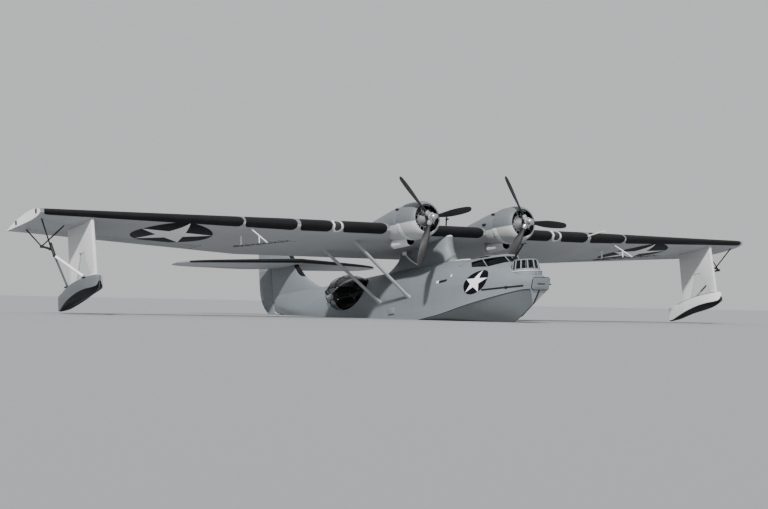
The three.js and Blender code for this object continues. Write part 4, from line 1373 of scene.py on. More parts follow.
@dataclass
class Canopy:
    """The pilots' canopy: thin posts and rails, glass between them and a metal roof."""

    posts: tuple[CanopyPost, ...] = (
        CanopyPost(0.00, 1.900, 2.368, 0.00, 2.090, 2.600),
        CanopyPost(0.20, 1.920, 2.352, 0.29, 2.110, 2.600),
        CanopyPost(0.40, 2.010, 2.325, 0.38, 2.250, 2.597),
        CanopyPost(0.56, 2.220, 2.290, 0.45, 2.390, 2.593),
        CanopyPost(0.74, 2.520, 2.240, 0.59, 3.000, 2.585),
        CanopyPost(0.90, 3.250, 2.270, 0.62, 3.640, 2.545),
        CanopyPost(0.95, 3.900, 2.270, 0.64, 3.900, 2.540),
    )
    barred: tuple[int, ...] = (0, 1, 4, 5)
    foot: float = 2.14
    crown: float = 2.69
    middle_y: float = 3.0

    def outline(self, which: str, inset: float = 0.0, drop: float = 0.0) -> Ring:
        """Returns the closed outline of the foot, the sill or the roof edge.

        Args:
            which: foot, sill or roof.
            inset: distance inside the outline.
            drop: distance below the level.

        Returns:
            The points in order.
        """
        half = []
        for p in self.posts:
            x, y = (p.roof_x, p.roof_y) if which == "roof" else (p.sill_x, p.sill_y)
            z = {"foot": self.foot, "sill": p.sill_z, "roof": p.roof_z}[which]
            half.append(Vector((x, y, z - drop)))
        whole = half + [Vector((-p.x, p.y, p.z)) for p in reversed(half[1:])]
        for p in whole:
            out = Vector((p.x, p.y - self.middle_y))
            scale = max(0.0, 1 - inset / min(out.length, 0.9))
            p.x, p.y = p.x * scale, self.middle_y + (p.y - self.middle_y) * scale
        return whole

    def raised(self, ring: Ring, z: float) -> Ring:
        """Returns a ring moved to one height."""
        return [Vector((p.x, p.y, z)) for p in ring]

    def crown_ring(self, drop: float = 0.0) -> Ring:
        """Returns the ring of the roof's flat middle."""
        return [
            Vector((p.x * 0.45, self.middle_y + (p.y - self.middle_y) * 0.75, self.crown - drop))
            for p in self.outline("roof", drop)
        ]

    def pit(self, floor: float) -> Piece:
        """Returns the hole that the cockpit leaves in the hull."""
        foot = self.outline("foot", -0.0005)
        return skin([self.raised(foot, floor), self.outline("sill", -0.0005), self.raised(foot, 2.9)])

    def covers(self, point: Vector, near: float) -> bool:
        """Tells whether a point lies within the plan of the sill.

        Args:
            point: the point to test.
            near: margin round the plan.

        Returns:
            True within it.
        """
        half = self.posts
        if not half[0].sill_y - near < point.y < half[-1].sill_y + near:
            return False
        for a, b in zip(half, half[1:]):
            if a.sill_y - near <= point.y <= b.sill_y + near:
                t = min(max((point.y - a.sill_y) / (b.sill_y - a.sill_y), 0.0), 1.0)
                if abs(point.x) < a.sill_x + (b.sill_x - a.sill_x) * t + near:
                    return True
        return False

    def bars(self) -> Piece:
        """Builds the sill rail, the roof rail and the posts.

        Returns:
            The joined bars.
        """
        sill, roof = self.outline("sill", 0.012), self.outline("roof", 0.012)
        rails = [pipe([*ring, ring[0]], radius, 8) for ring, radius in ((sill, 0.02), (roof, 0.024))]
        last = len(sill)
        posts = [pipe([sill[i % last], roof[i % last]], 0.017, 8) for k in self.barred for i in {k, last - k}]
        return joined(rails + posts)

    def panes(self, low: float, high: float) -> Piece:
        """Builds the glazed part of the sides, from the nose back to the last post but one.

        Args:
            low: how far the inner face lies within the sill's outline.
            high: how far the outer face does.

        Returns:
            The glass between the sill and the roof's edge.
        """
        side = carve(
            skin([self.outline("sill", high), self.outline("roof", high)]),
            skin([self.outline("sill", low, 0.03), self.outline("roof", low, -0.03)]),
        )
        post = self.posts[-2]
        slope = (post.roof_y - post.sill_y) / (post.roof_z - post.sill_z)
        cut = [(post.sill_y + slope * (z - post.sill_z), z) for z in (1.9, 2.9)]
        corners = [*cut, (6.0, 2.9), (6.0, 1.9)]
        return carve(side, skin([[(x, y, z) for y, z in corners] for x in (-1.5, 1.5)]))

    def rear_sides(self) -> list[Piece]:
        """Builds the metal plates behind the last panes.

        Returns:
            One plate for each side.
        """
        front, rear = self.posts[-2:]
        corners = (front[:3], rear[:3], rear[3:], front[3:])
        return [
            skin([[(side * (x - inset), y, z) for x, y, z in corners] for inset in (0.0, 0.02)])
            for side, _ in SIDES
        ]

    def rear_cap(self) -> Piece:
        """Builds the plate that closes the pit's rear wall up to the deck.

        Returns:
            The plate.
        """
        end = self.posts[-1]
        deck = Hull().half_section(row_at(FOREBODY, end.sill_y))
        crown = [(x, z - 0.002) for x, z in deck if z > self.foot and x < end.sill_x]
        half = [(end.sill_x, self.foot), *crown]
        whole = half + [(-x, z) for x, z in reversed(half[:-1])]
        return skin([[(x, end.sill_y - back, z) for x, z in whole] for back in (0.015, 0.001)])

    def build(self) -> None:
        """Builds the canopy."""
        coaming = carve(
            skin([self.outline("foot"), self.outline("sill")]),
            skin([self.outline("foot", 0.03, 0.05), self.outline("sill", 0.03, -0.05)]),
        )
        roof_low, roof_high = self.outline("roof"), self.crown_ring()
        middle = [a.lerp(b, 0.5) + Vector((0, 0, 0.028)) for a, b in zip(roof_low, roof_high)]
        roof = skin([self.outline("roof", 0.02, 0.02), roof_low, middle, roof_high])
        hatches = [
            block((0.44, 0.62, 0.02), (side * 0.27, 3.1, self.crown + 0.002), 0.008) for side, _ in SIDES
        ]
        frame = joined([coaming, roof, self.bars(), *self.rear_sides(), self.rear_cap(), *hatches])
        deliver(frame, "canopy_metalwork", Palette.skin, replaces=["canopy_frame"])
        deliver(self.panes(0.014, 0.006), "canopy_panes", Palette.glass, replaces=["canopy_glass"], smooth=10)


# Waist blisters


@dataclass
class Blister:
    """A waist blister: a fixed upper shell and a lower hatch, both turned about one line."""

    side: int
    x: float = 1.15
    y: float = 10.68
    z: float = 2.18
    length: float = 1.29
    radius: float = 0.67
    wall: float = 0.012
    hatch_gap: float = 0.026
    dome_span: tuple[float, float] = (18, 128)
    dome_ribs: tuple[float, ...] = (18, 62, 126)
    hatch_span: tuple[float, float] = (-66, 24)
    hatch_ribs: tuple[float, ...] = (-64, -22, 22)
    hoops: tuple[float, ...] = (0.16, 0.5, 0.84)

    def profile(self, radius: float, steps: int = 26) -> list[tuple[float, float]]:
        """Returns radius and y along the shell, from nose to tail.

        Args:
            radius: radius in the middle.
            steps: parts along the shell.

        Returns:
            Pairs of radius and y.
        """
        long = self.length - (self.radius - radius)
        turns = [i / steps * pi for i in range(steps + 1)]
        return [(radius * max(sin(t), 0.0) ** 0.85, self.y - long * cos(t)) for t in turns]

    def hole(self) -> Piece:
        """Returns the whole turned body that is cut out of the hull."""
        return spun(self.profile(self.radius + 0.008), self.side * self.x, self.z, 48)

    def angle(self, up: float) -> float:
        """Returns an angle from port for one measured up from outboard."""
        return up if self.side == PORT else 180.0 - up

    def shell(self, radius: float, low: float, high: float) -> Piece:
        """Builds a glass sector between two angles up from outboard.

        Args:
            radius: outer radius in the middle.
            low: lower angle in degrees.
            high: upper angle in degrees.

        Returns:
            The closed sector.
        """
        outer, inner = self.profile(radius)[1:-1], self.profile(radius - self.wall)[1:-1]
        start, sweep = self.angle(low if self.side == PORT else high), high - low
        return spun(outer + inner[::-1], self.side * self.x, self.z, 24, start, sweep, True)

    def rib(self, radius: float, up: float, thick: float = 0.014) -> Piece:
        """Builds a frame that runs fore and aft over the shell.

        Args:
            radius: radius in the middle.
            up: angle up from outboard in degrees.
            thick: thickness of the frame.

        Returns:
            The frame.
        """
        turn = radians(self.angle(up))
        route = [
            (self.side * self.x + r * cos(turn), y, self.z + r * sin(turn))
            for r, y in self.profile(radius, 18)[1:-1]
        ]
        return pipe(route, thick, 8)

    def hoop(self, radius: float, share: float, low: float, high: float, thick: float = 0.014) -> Piece:
        """Builds a frame that runs round the shell at a share of its length.

        Args:
            radius: radius in the middle.
            share: share of the length from the nose.
            low: lower angle in degrees.
            high: upper angle in degrees.
            thick: thickness of the frame.

        Returns:
            The frame.
        """
        steps = 26
        r, y = self.profile(radius, steps)[round(share * steps)]
        turns = [radians(self.angle(low + (high - low) * i / 16)) for i in range(17)]
        return pipe([(self.side * self.x + r * cos(t), y, self.z + r * sin(t)) for t in turns], thick, 8)

    def build(self, word: str) -> None:
        """Builds the glass and the frames of both parts.

        Args:
            word: left or right, as in the names of the pieces.
        """
        dome = self.shell(self.radius, *self.dome_span)
        deliver(dome, f"blister_dome_{word}", Palette.glass, replaces=[f"blister_{word}"])
        deliver(self.frames(self.radius, self.dome_ribs), f"blister_frames_{word}", Palette.dark)
        lower = self.radius - self.hatch_gap
        body = f"blister_hatch_{word}"
        deliver(self.shell(lower, *self.hatch_span), f"hatch_dome_{word}", Palette.glass, body, [body])
        deliver(self.frames(lower - self.wall, self.hatch_ribs), f"hatch_frames_{word}", Palette.dark, body)

    def frames(self, radius: float, angles: Sequence[float]) -> list[Piece]:
        """Builds the ribs at these angles and the hoops between the first and the last of them."""
        bars = [self.rib(radius, up) for up in angles]
        return bars + [self.hoop(radius, share, angles[0], angles[-1]) for share in self.hoops]


# Wing


def leading_boot(
    surface: Surface, start: float, end: float, reach: float, thick: float = 0.005
) -> Piece:
    """Builds a de-icing boot with rounded ends round a leading edge.

    Args:
        surface: gives a point from the place along the span, the share of the chord, the face and how far
            it stands off.
        start: place along the span of one end.
        end: place along the span of the other end.
        reach: share of the chord that it covers on top.
        thick: how far it stands off the skin.

    Returns:
        The boot.
    """
    rings = []
    spans = 28
    round_end = 0.16
    for i in range(spans + 1):
        x = start + (end - start) * (1 - cos(i / spans * pi)) / 2
        near = min(abs(x - start), abs(x - end))
        full = max(sqrt(max(0.0, 1 - max(0.0, 1 - near / round_end) ** 2)), 0.03)
        top, bottom = reach * full, reach * 0.8 * full
        shares = [j / 9 for j in range(10)]
        outer = [surface(x, top * (1 - t) ** 2, 1, thick) for t in shares]
        outer += [surface(x, bottom * t**2, -1, thick) for t in shares[1:]]
        inner = [surface(x, bottom * t**2, -1, -0.004) for t in reversed(shares)]
        inner += [surface(x, top * (1 - t) ** 2, 1, -0.004) for t in shares[1:]]
        rings.append(outer + inner)
    return skin(rings)


@dataclass
class Aerofoil:
    """Section shape of wing and tail surfaces."""

    camber: float = 0.018
    blunt: float = 0.003

    def half(self, c: float, thick: float) -> float:
        """Returns half the thickness at a share of the chord.

        Args:
            c: share of the chord.
            thick: greatest thickness as a share of the chord.

        Returns:
            Half the thickness as a share of the chord.
        """
        c = min(max(c, 0.0), 1.0)
        curve = 0.2969 * sqrt(c) - 0.126 * c - 0.3516 * c**2 + 0.2843 * c**3 - 0.1015 * c**4
        return 5 * thick * curve + self.blunt * c

    def mean(self, c: float) -> float:
        """Returns the height of the mean line at a share of the chord."""
        return self.camber * 4 * c * (1 - c)


class WingStation(NamedTuple):
    """One wing section: place across, leading edge, chord and thickness share."""

    x: float
    le_y: float
    le_z: float
    chord: float
    thick: float


@dataclass
class Wing:
    """The parasol wing: centre section, tapered outer panels and ailerons."""

    shape: Aerofoil = field(default_factory=Aerofoil)
    incidence: float = radians(6.5)
    root: WingStation = WingStation(6.5, 5.52, 3.93, 4.44, 0.15)
    tip: WingStation = WingStation(15.45, 6.66, 4.15, 2.72, 0.12)
    aileron_in: float = 8.4
    aileron_out: float = 14.95
    hinge: float = 0.8
    clear: float = 0.008
    boot_reach: float = 0.062
    booted: Profile = ((2.79, 4.60), (5.06, 6.33), (6.47, 8.36), (8.43, 15.30))
    rib_x: float = 15.425
    rib_fittings: tuple[tuple[float, float, float, float], ...] = (
        (6.98, 4.18, 0.10, 0.15), (8.58, 4.00, 0.10, 0.13)
    )
    pitot_x: float = 6.33
    pitot_steps: tuple[Point, ...] = ((0, 0.1, 0.0), (0, -0.3, 0.05), (0, -0.98, 0.09))

    def station(self, x: float) -> WingStation:
        """Returns the section at a place across.

        Args:
            x: place across, port positive.

        Returns:
            The section's sizes.
        """
        t = max(0.0, (abs(x) - self.root.x) / (self.tip.x - self.root.x))
        rest = [a + (b - a) * t for a, b in zip(self.root[1:], self.tip[1:])]
        return WingStation(x, *rest)

    def point(self, s: WingStation, along: float, above: float) -> Vector:
        """Returns the place of a point given along the chord and above it."""
        rise, run = sin(self.incidence), cos(self.incidence)
        return Vector((s.x, s.le_y + along * run + above * rise, s.le_z - along * rise + above * run))

    def surface(self, x: float, c: float, face: int, proud: float = 0.0) -> Vector:
        """Returns a point on the upper (1) or lower (-1) surface.

        Args:
            x: place across, port positive.
            c: share of the chord behind the leading edge.
            face: 1 for the upper face, -1 for the lower.
            proud: stand-off from the surface.

        Returns:
            The point.
        """
        s = self.station(x)
        above = self.shape.mean(c) * s.chord + face * (self.shape.half(c, s.thick) * s.chord + proud)
        nose = -proud * max(0.0, 1 - c / 0.004) if proud else 0.0
        return self.point(s, c * s.chord + nose, above)

    def ring(self, x: float, steps: int = 26) -> Ring:
        """Returns a whole wing section.

        Args:
            x: place across, port positive.
            steps: points along a face.

        Returns:
            The points in order.
        """
        shares = [1 - cos(i / steps * pi / 2) for i in range(steps + 1)]
        lower = [self.surface(x, c, -1) for c in shares]
        upper = [self.surface(x, c, 1) for c in reversed(shares[1:])]
        return lower + upper

    def nose(self, s: WingStation) -> float:
        """Returns the radius of an aileron's round nose."""
        return self.shape.half(self.hinge, s.thick) * s.chord

    def aileron_ring(self, x: float, steps: int = 12) -> Ring:
        """Returns an aileron section: a round nose and a thin wedge.

        Args:
            x: place across, port positive.
            steps: parts round the nose.

        Returns:
            The points in order.
        """
        s = self.station(x)
        nose = self.nose(s)
        along, above = self.hinge * s.chord, self.shape.mean(self.hinge) * s.chord
        turns = [pi / 2 + i / steps * pi for i in range(steps + 1)]
        points = [self.point(s, along + nose * cos(t), above + nose * sin(t)) for t in turns]
        edge = self.shape.blunt * s.chord
        return points + [self.point(s, s.chord, -edge), self.point(s, s.chord, edge)]

    def bay(self, side: int) -> Piece:
        """Returns the block that the aileron's bay takes out of an outer panel.

        Args:
            side: port or starboard.

        Returns:
            A block to cut with.
        """
        rings = []
        for x in (self.aileron_in - self.clear, self.aileron_out + self.clear):
            s = self.station(side * x)
            front = self.hinge * s.chord - self.nose(s) - self.clear
            corners = ((front, -0.3), (s.chord * 1.1, -0.3), (s.chord * 1.1, 0.3), (front, 0.3))
            rings.append([self.point(s, along, above) for along, above in corners])
        return skin(rings)

    def build(self) -> None:
        """Builds the panels, ailerons and boots."""
        half = self.root.x
        deliver(
            skin([self.ring(x) for x in (-half + 0.0005, 0, half - 0.0005)]), "wing_centre_skin",
            Palette.wing, replaces=["wing_centre"],
        )
        for side, word in SIDES:
            places = [half + (self.rib_x - half) * i / 8 for i in range(9)]
            panel = carve(skin([self.ring(side * x) for x in places]), self.bay(side))
            finish_faces(
                panel, (Palette.wing, Palette.light), lambda centre, _: abs(centre.x) > self.rib_x - 0.001
            )
            deliver(panel, f"wing_panel_{word}", Palette.wing, replaces=[f"wing_outer_{word}"])
            aileron = skin([self.aileron_ring(side * x) for x in (self.aileron_in, 11.5, self.aileron_out)])
            deliver(aileron, f"aileron_skin_{word}", Palette.fabric, f"aileron_{word}", [f"aileron_{word}"])
        boots = [leading_boot(self.surface, -1.42, 1.42, self.boot_reach)]
        for side, _ in SIDES:
            boots += [
                leading_boot(self.surface, side * start, side * end, self.boot_reach)
                for start, end in self.booted
            ]
        deliver(boots, "wing_boots", Palette.boot)
        locks = [
            block((0.022, deep, high), (side * (self.rib_x + 0.012), y, z), 0.008)
            for side, _ in SIDES
            for y, z, deep, high in self.rib_fittings
        ]
        deliver(locks, "tip_rib_locks", Palette.dark)
        nose = self.surface(self.pitot_x, 0.0, 1)
        mast = pipe([nose + Vector(step) for step in self.pitot_steps], 0.022, 10)
        deliver(mast, "wing_pitot", Palette.white)


# Turret


@dataclass
class Turret:
    """The bow turret: a ring, posts and a domed cap with glass between them."""

    y: float = 1.33
    base: float = 1.99
    top: float = 2.345
    foot_radius: float = 0.488
    top_radius: float = 0.414
    posts: int = 12
    drum: float = 0.44
    drum_foot: float = 1.935
    rail_lines: Profile = ((-0.03, -0.012), (0.004, -0.012), (0.004, 0.012), (-0.02, 0.024))
    seat_lines: Profile = ((0.30, 1.98), (0.36, 1.98), (0.36, 2.03), (0.30, 2.03))

    def radius_at(self, z: float) -> float:
        """Returns the radius of the leaning side at a height."""
        t = (z - self.base) / (self.top - self.base)
        return self.foot_radius + (self.top_radius - self.foot_radius) * t

    def build(self) -> None:
        """Builds the metalwork, the glass and the gunner's seat ring."""
        base, top, foot = self.base, self.top, self.drum_foot
        ring = upright_spun(
            [(0.40, base), (self.foot_radius, base), (self.radius_at(base + 0.05), base + 0.05),
             (self.radius_at(base + 0.05) - 0.03, base + 0.06), (0.40, base + 0.02)],
            0, self.y, 64, True,
        )
        drum = upright_spun(
            [
                (self.drum + out, z)
                for out, z in zip((-0.02, 0, 0, -0.02), (foot, foot, base + 0.01, base + 0.01))
            ],
            0, self.y, 48, True,
        )
        lines = [(self.top_radius + out, top + up) for out, up in self.rail_lines]
        rail = upright_spun(lines, 0, self.y, 64, True)
        cap = upright_spun(
            [
                (0, top + 0.038), (0.2, top + 0.034), (0.33, top + 0.022),
                (self.top_radius - 0.012, top + 0.002), (self.top_radius - 0.025, top - 0.008),
                (0.3, top + 0.008), (0, top + 0.02),
            ],
            0, self.y, 64,
        )
        posts = []
        for i in range(self.posts):
            turn = tau * i / self.posts
            out = Vector((cos(turn), sin(turn), 0))
            start = Vector((0, self.y, base + 0.04)) + out * (self.radius_at(base + 0.04) - 0.014)
            head = Vector((0, self.y, top)) + out * (self.top_radius - 0.01)
            posts.append(pipe([start, head], 0.026, 8))
        deliver([ring, drum, rail, cap, *posts], "turret_metalwork", Palette.skin, "turret", ["turret_frame"])
        low, high = base + 0.045, top - 0.005
        r_low, r_high = self.radius_at(low) - 0.012, self.radius_at(high) - 0.012
        glass = upright_spun(
            [(r_low - 0.006, low), (r_low, low), (r_high, high), (r_high - 0.006, high)], 0, self.y, 64,
            True,
        )
        deliver(glass, "turret_panes", Palette.glass, "turret", ["turret_glass"])
        seat = upright_spun(self.seat_lines, 0, self.y, 32, True)
        gun = [
            pipe([(0.0, 1.0, 2.19), (0.0, 0.99, 2.19)], 0.02),
            block((0.07, 0.3, 0.1), (0.0, 1.16, 2.17), 0.01),
        ]
        deliver([seat, *gun], "turret_seat_ring", Palette.dark, "turret")


# Pylon and struts


class PylonLevel(NamedTuple):
    """Plan of the pylon at one height: leading edge, trailing edge and half width."""

    z: float
    front: float
    rear: float
    half: float


@dataclass
class Pylon:
    """The pylon between hull and wing, filleted into the deck, and the hull struts."""

    levels: tuple[PylonLevel, ...] = (
        PylonLevel(2.56, 5.230, 10.05, 0.43),
        PylonLevel(2.80, 5.340, 9.73, 0.43),
        PylonLevel(3.00, 5.440, 9.28, 0.42),
        PylonLevel(3.25, 5.580, 8.90, 0.40),
        PylonLevel(3.64, 5.620, 8.76, 0.40),
        PylonLevel(4.00, 5.590, 8.72, 0.40),
    )
    struts: tuple[tuple[str, float, float, float, float], ...] = (
        ("front", 6.32, 3.85, 6.50, 3.80),
        ("rear", 8.20, 3.71, 8.48, 3.57),
    )
    strut_size: tuple[float, float] = (0.195, 0.084)
    foot_x: float = 1.43
    foot_z: float = 1.55
    # The next two values bound the painted highlight: light paint on the top of the pylon's nose, above the
    # one height and ahead of the other place.
    painted_highlight_z: float = 3.74
    cap_y: float = 6.2
    hand_rail: tuple[Point, ...] = ((0.40, 8.05, 3.42), (0.44, 7.53, 3.07), (0.43, 6.91, 2.76))

    def plan(self, level: PylonLevel, steps: int = 22) -> Ring:
        """Returns the outline of the plan at one level.

        Args:
            level: sizes of the level.
            steps: points along a side.

        Returns:
            The points in order.
        """
        section = Aerofoil(0.0)
        shares = [1 - cos(i / steps * pi / 2) for i in range(steps + 1)]
        chord = level.rear - level.front

        def width(c: float) -> float:
            """Returns the half width at a share of the length."""
            return level.half * min(1.0, section.half(c, 0.2) / 0.1)

        port = [(width(c), level.front + c * chord, level.z) for c in shares]
        return port + [(-width(c), level.front + c * chord, level.z) for c in reversed(shares[1:])]

    def build(self) -> None:
        """Builds the pylon, its rods and fittings, and the four struts."""
        first, last = self.levels[0].z, self.levels[-1].z
        rings = [self.plan(row_at(self.levels, first + (last - first) * i / 16)) for i in range(17)]
        body = skin(rings)
        # Painted highlight: light paint on the top of the pylon's nose.
        finish_faces(
            body, (Palette.skin, Palette.light), lambda at, _: at.z > self.painted_highlight_z and at.y < self.cap_y
        )
        deliver(body, "pylon_skin", Palette.skin, replaces=["pylon"])
        details = [
            pipe([(side * x, y, z) for x, y, z in self.hand_rail], 0.026, 8, True) for side, _ in SIDES
        ]
        details += [block((0.06, 0.24, 0.13), (side * 0.40, 7.98, 3.38), 0.02) for side, _ in SIDES]
        deliver(details, "pylon_fittings", Palette.white)
        for side, word in SIDES:
            for place, foot_y, head_x, head_y, head_z in self.struts:
                foot = (side * self.foot_x, foot_y, self.foot_z)
                head = (side * head_x, head_y, head_z)
                bar = cuffed_bar(foot, head, *self.strut_size)
                deliver(bar, f"strut_skin_{place}_{word}", Palette.strut, replaces=[f"strut_{place}_{word}"])


# Power plants


@dataclass
class Cylinder:
    """One air-cooled cylinder, its fins, head, rocker boxes and push rods."""

    base: float = 0.225
    barrel: float = 0.075
    fins: int = 9
    pitch: float = 0.027
    foot_lines: Profile = ((0.0, -0.02), (0.062, -0.02))
    head_lines: Profile = ((0.06, 0.0), (0.085, 0.015), (0.08, 0.05), (0.05, 0.075), (0.0, 0.082))

    def build(self) -> list[Piece]:
        """Returns the finned barrel with its head, and the bright push rods, standing along Z.

        Returns:
            The barrel and the rods.
        """
        profile = [(r, self.base + up) for r, up in self.foot_lines]
        z = self.base
        for i in range(self.fins):
            wide = self.barrel + (0.014 if i > self.fins // 2 else 0.004)
            profile += [(0.058, z), (wide, z + 0.004), (wide, z + 0.012), (0.058, z + 0.016)]
            z += self.pitch
        profile += [(r, z + up) for r, up in self.head_lines]
        barrel = upright_spun(profile, 0, 0, 18)
        boxes = [block((0.05, 0.07, 0.06), (side * 0.052, -0.02, z + 0.06), 0.012) for side in (-1, 1)]
        rods = [
            pipe([(side * 0.03, -0.09, self.base - 0.03), (side * 0.05, -0.075, z + 0.05)], 0.009, 6)
            for side in (-1, 1)
        ]
        return [joined([barrel, *boxes]), joined(rods)]


class BladeStation(NamedTuple):
    """Propeller blade section: distance out, chord, thickness and pitch angle."""

    r: float
    chord: float
    thick: float
    pitch: float


@dataclass
class Propeller:
    """A three-bladed propeller with a polished two-part hub dome."""

    x: float
    z: float
    y: float
    first_blade: float
    blades: int = 3
    stations: tuple[BladeStation, ...] = (
        BladeStation(0.12, 0.13, 0.12, 62),
        BladeStation(0.38, 0.17, 0.08, 50),
        BladeStation(0.80, 0.265, 0.042, 36),
        BladeStation(1.25, 0.27, 0.026, 26),
        BladeStation(1.65, 0.215, 0.016, 20),
        BladeStation(1.79, 0.14, 0.011, 18),
        BladeStation(1.83, 0.05, 0.007, 18),
    )
    hub_lines: Profile = (
        (0, -0.31), (0.06, -0.3), (0.1, -0.268), (0.121, -0.21), (0.126, -0.13), (0.155, -0.12),
        (0.168, -0.1), (0.168, 0.09), (0.1, 0.105), (0.1, 0.14), (0, 0.14),
    )
    cuff_lines: Profile = ((0, 0.1), (0.1, 0.1), (0.1, 0.215), (0.088, 0.245), (0.075, 0.29), (0, 0.29))
    bolts: int = 12
    bolt_ring: float = 0.142

    def blade(self) -> Piece:
        """Returns one blade standing along Z from the hub's middle.

        Returns:
            The blade.
        """
        rings = []
        root, tip = self.stations[0].r, self.stations[-1].r
        for i in range(25):
            share = sin(i / 24 * pi / 2)
            s = row_at(self.stations, root + (tip - root) * share)
            twist = radians(s.pitch)
            ring = []
            for k in range(16):
                turn = tau * k / 16
                along = cos(turn) * s.chord / 2
                across = sin(turn) * s.thick / 2 * (1 - 0.3 * cos(turn))
                ring.append(
                    (along * cos(twist) - across * sin(twist), along * sin(twist) + across * cos(twist), s.r)
                )
            rings.append(ring)
        return skin(rings)

    def build(self, word: str) -> None:
        """Builds the blades and the hub.

        Args:
            word: left or right, as in the names of the pieces.
        """
        blade = self.blade()
        angles = [radians(self.first_blade + i * 360 / self.blades) for i in range(self.blades)]
        places = [turned(self.x, self.y, self.z, angle) for angle in angles]
        blades = [copied(blade, place) for place in places]
        bpy.data.objects.remove(blade)
        body = f"propeller_{word}"
        deliver(blades, f"blades_{word}", Palette.blade, body, [body])
        dome = spun([(r, self.y + back) for r, back in self.hub_lines], self.x, self.z, 40)
        cuffs = [bent(upright_spun(self.cuff_lines, 0, 0, 24), place) for place in places]
        bolts = []
        for i in range(self.bolts):
            turn = tau * i / self.bolts
            at = (self.x + self.bolt_ring * cos(turn), self.y - 0.128, self.z + self.bolt_ring * sin(turn))
            bolts.append(block((0.018, 0.02, 0.018), at, 0.003))
        deliver([dome, *cuffs, *bolts], f"hub_{word}", Palette.bare, body)


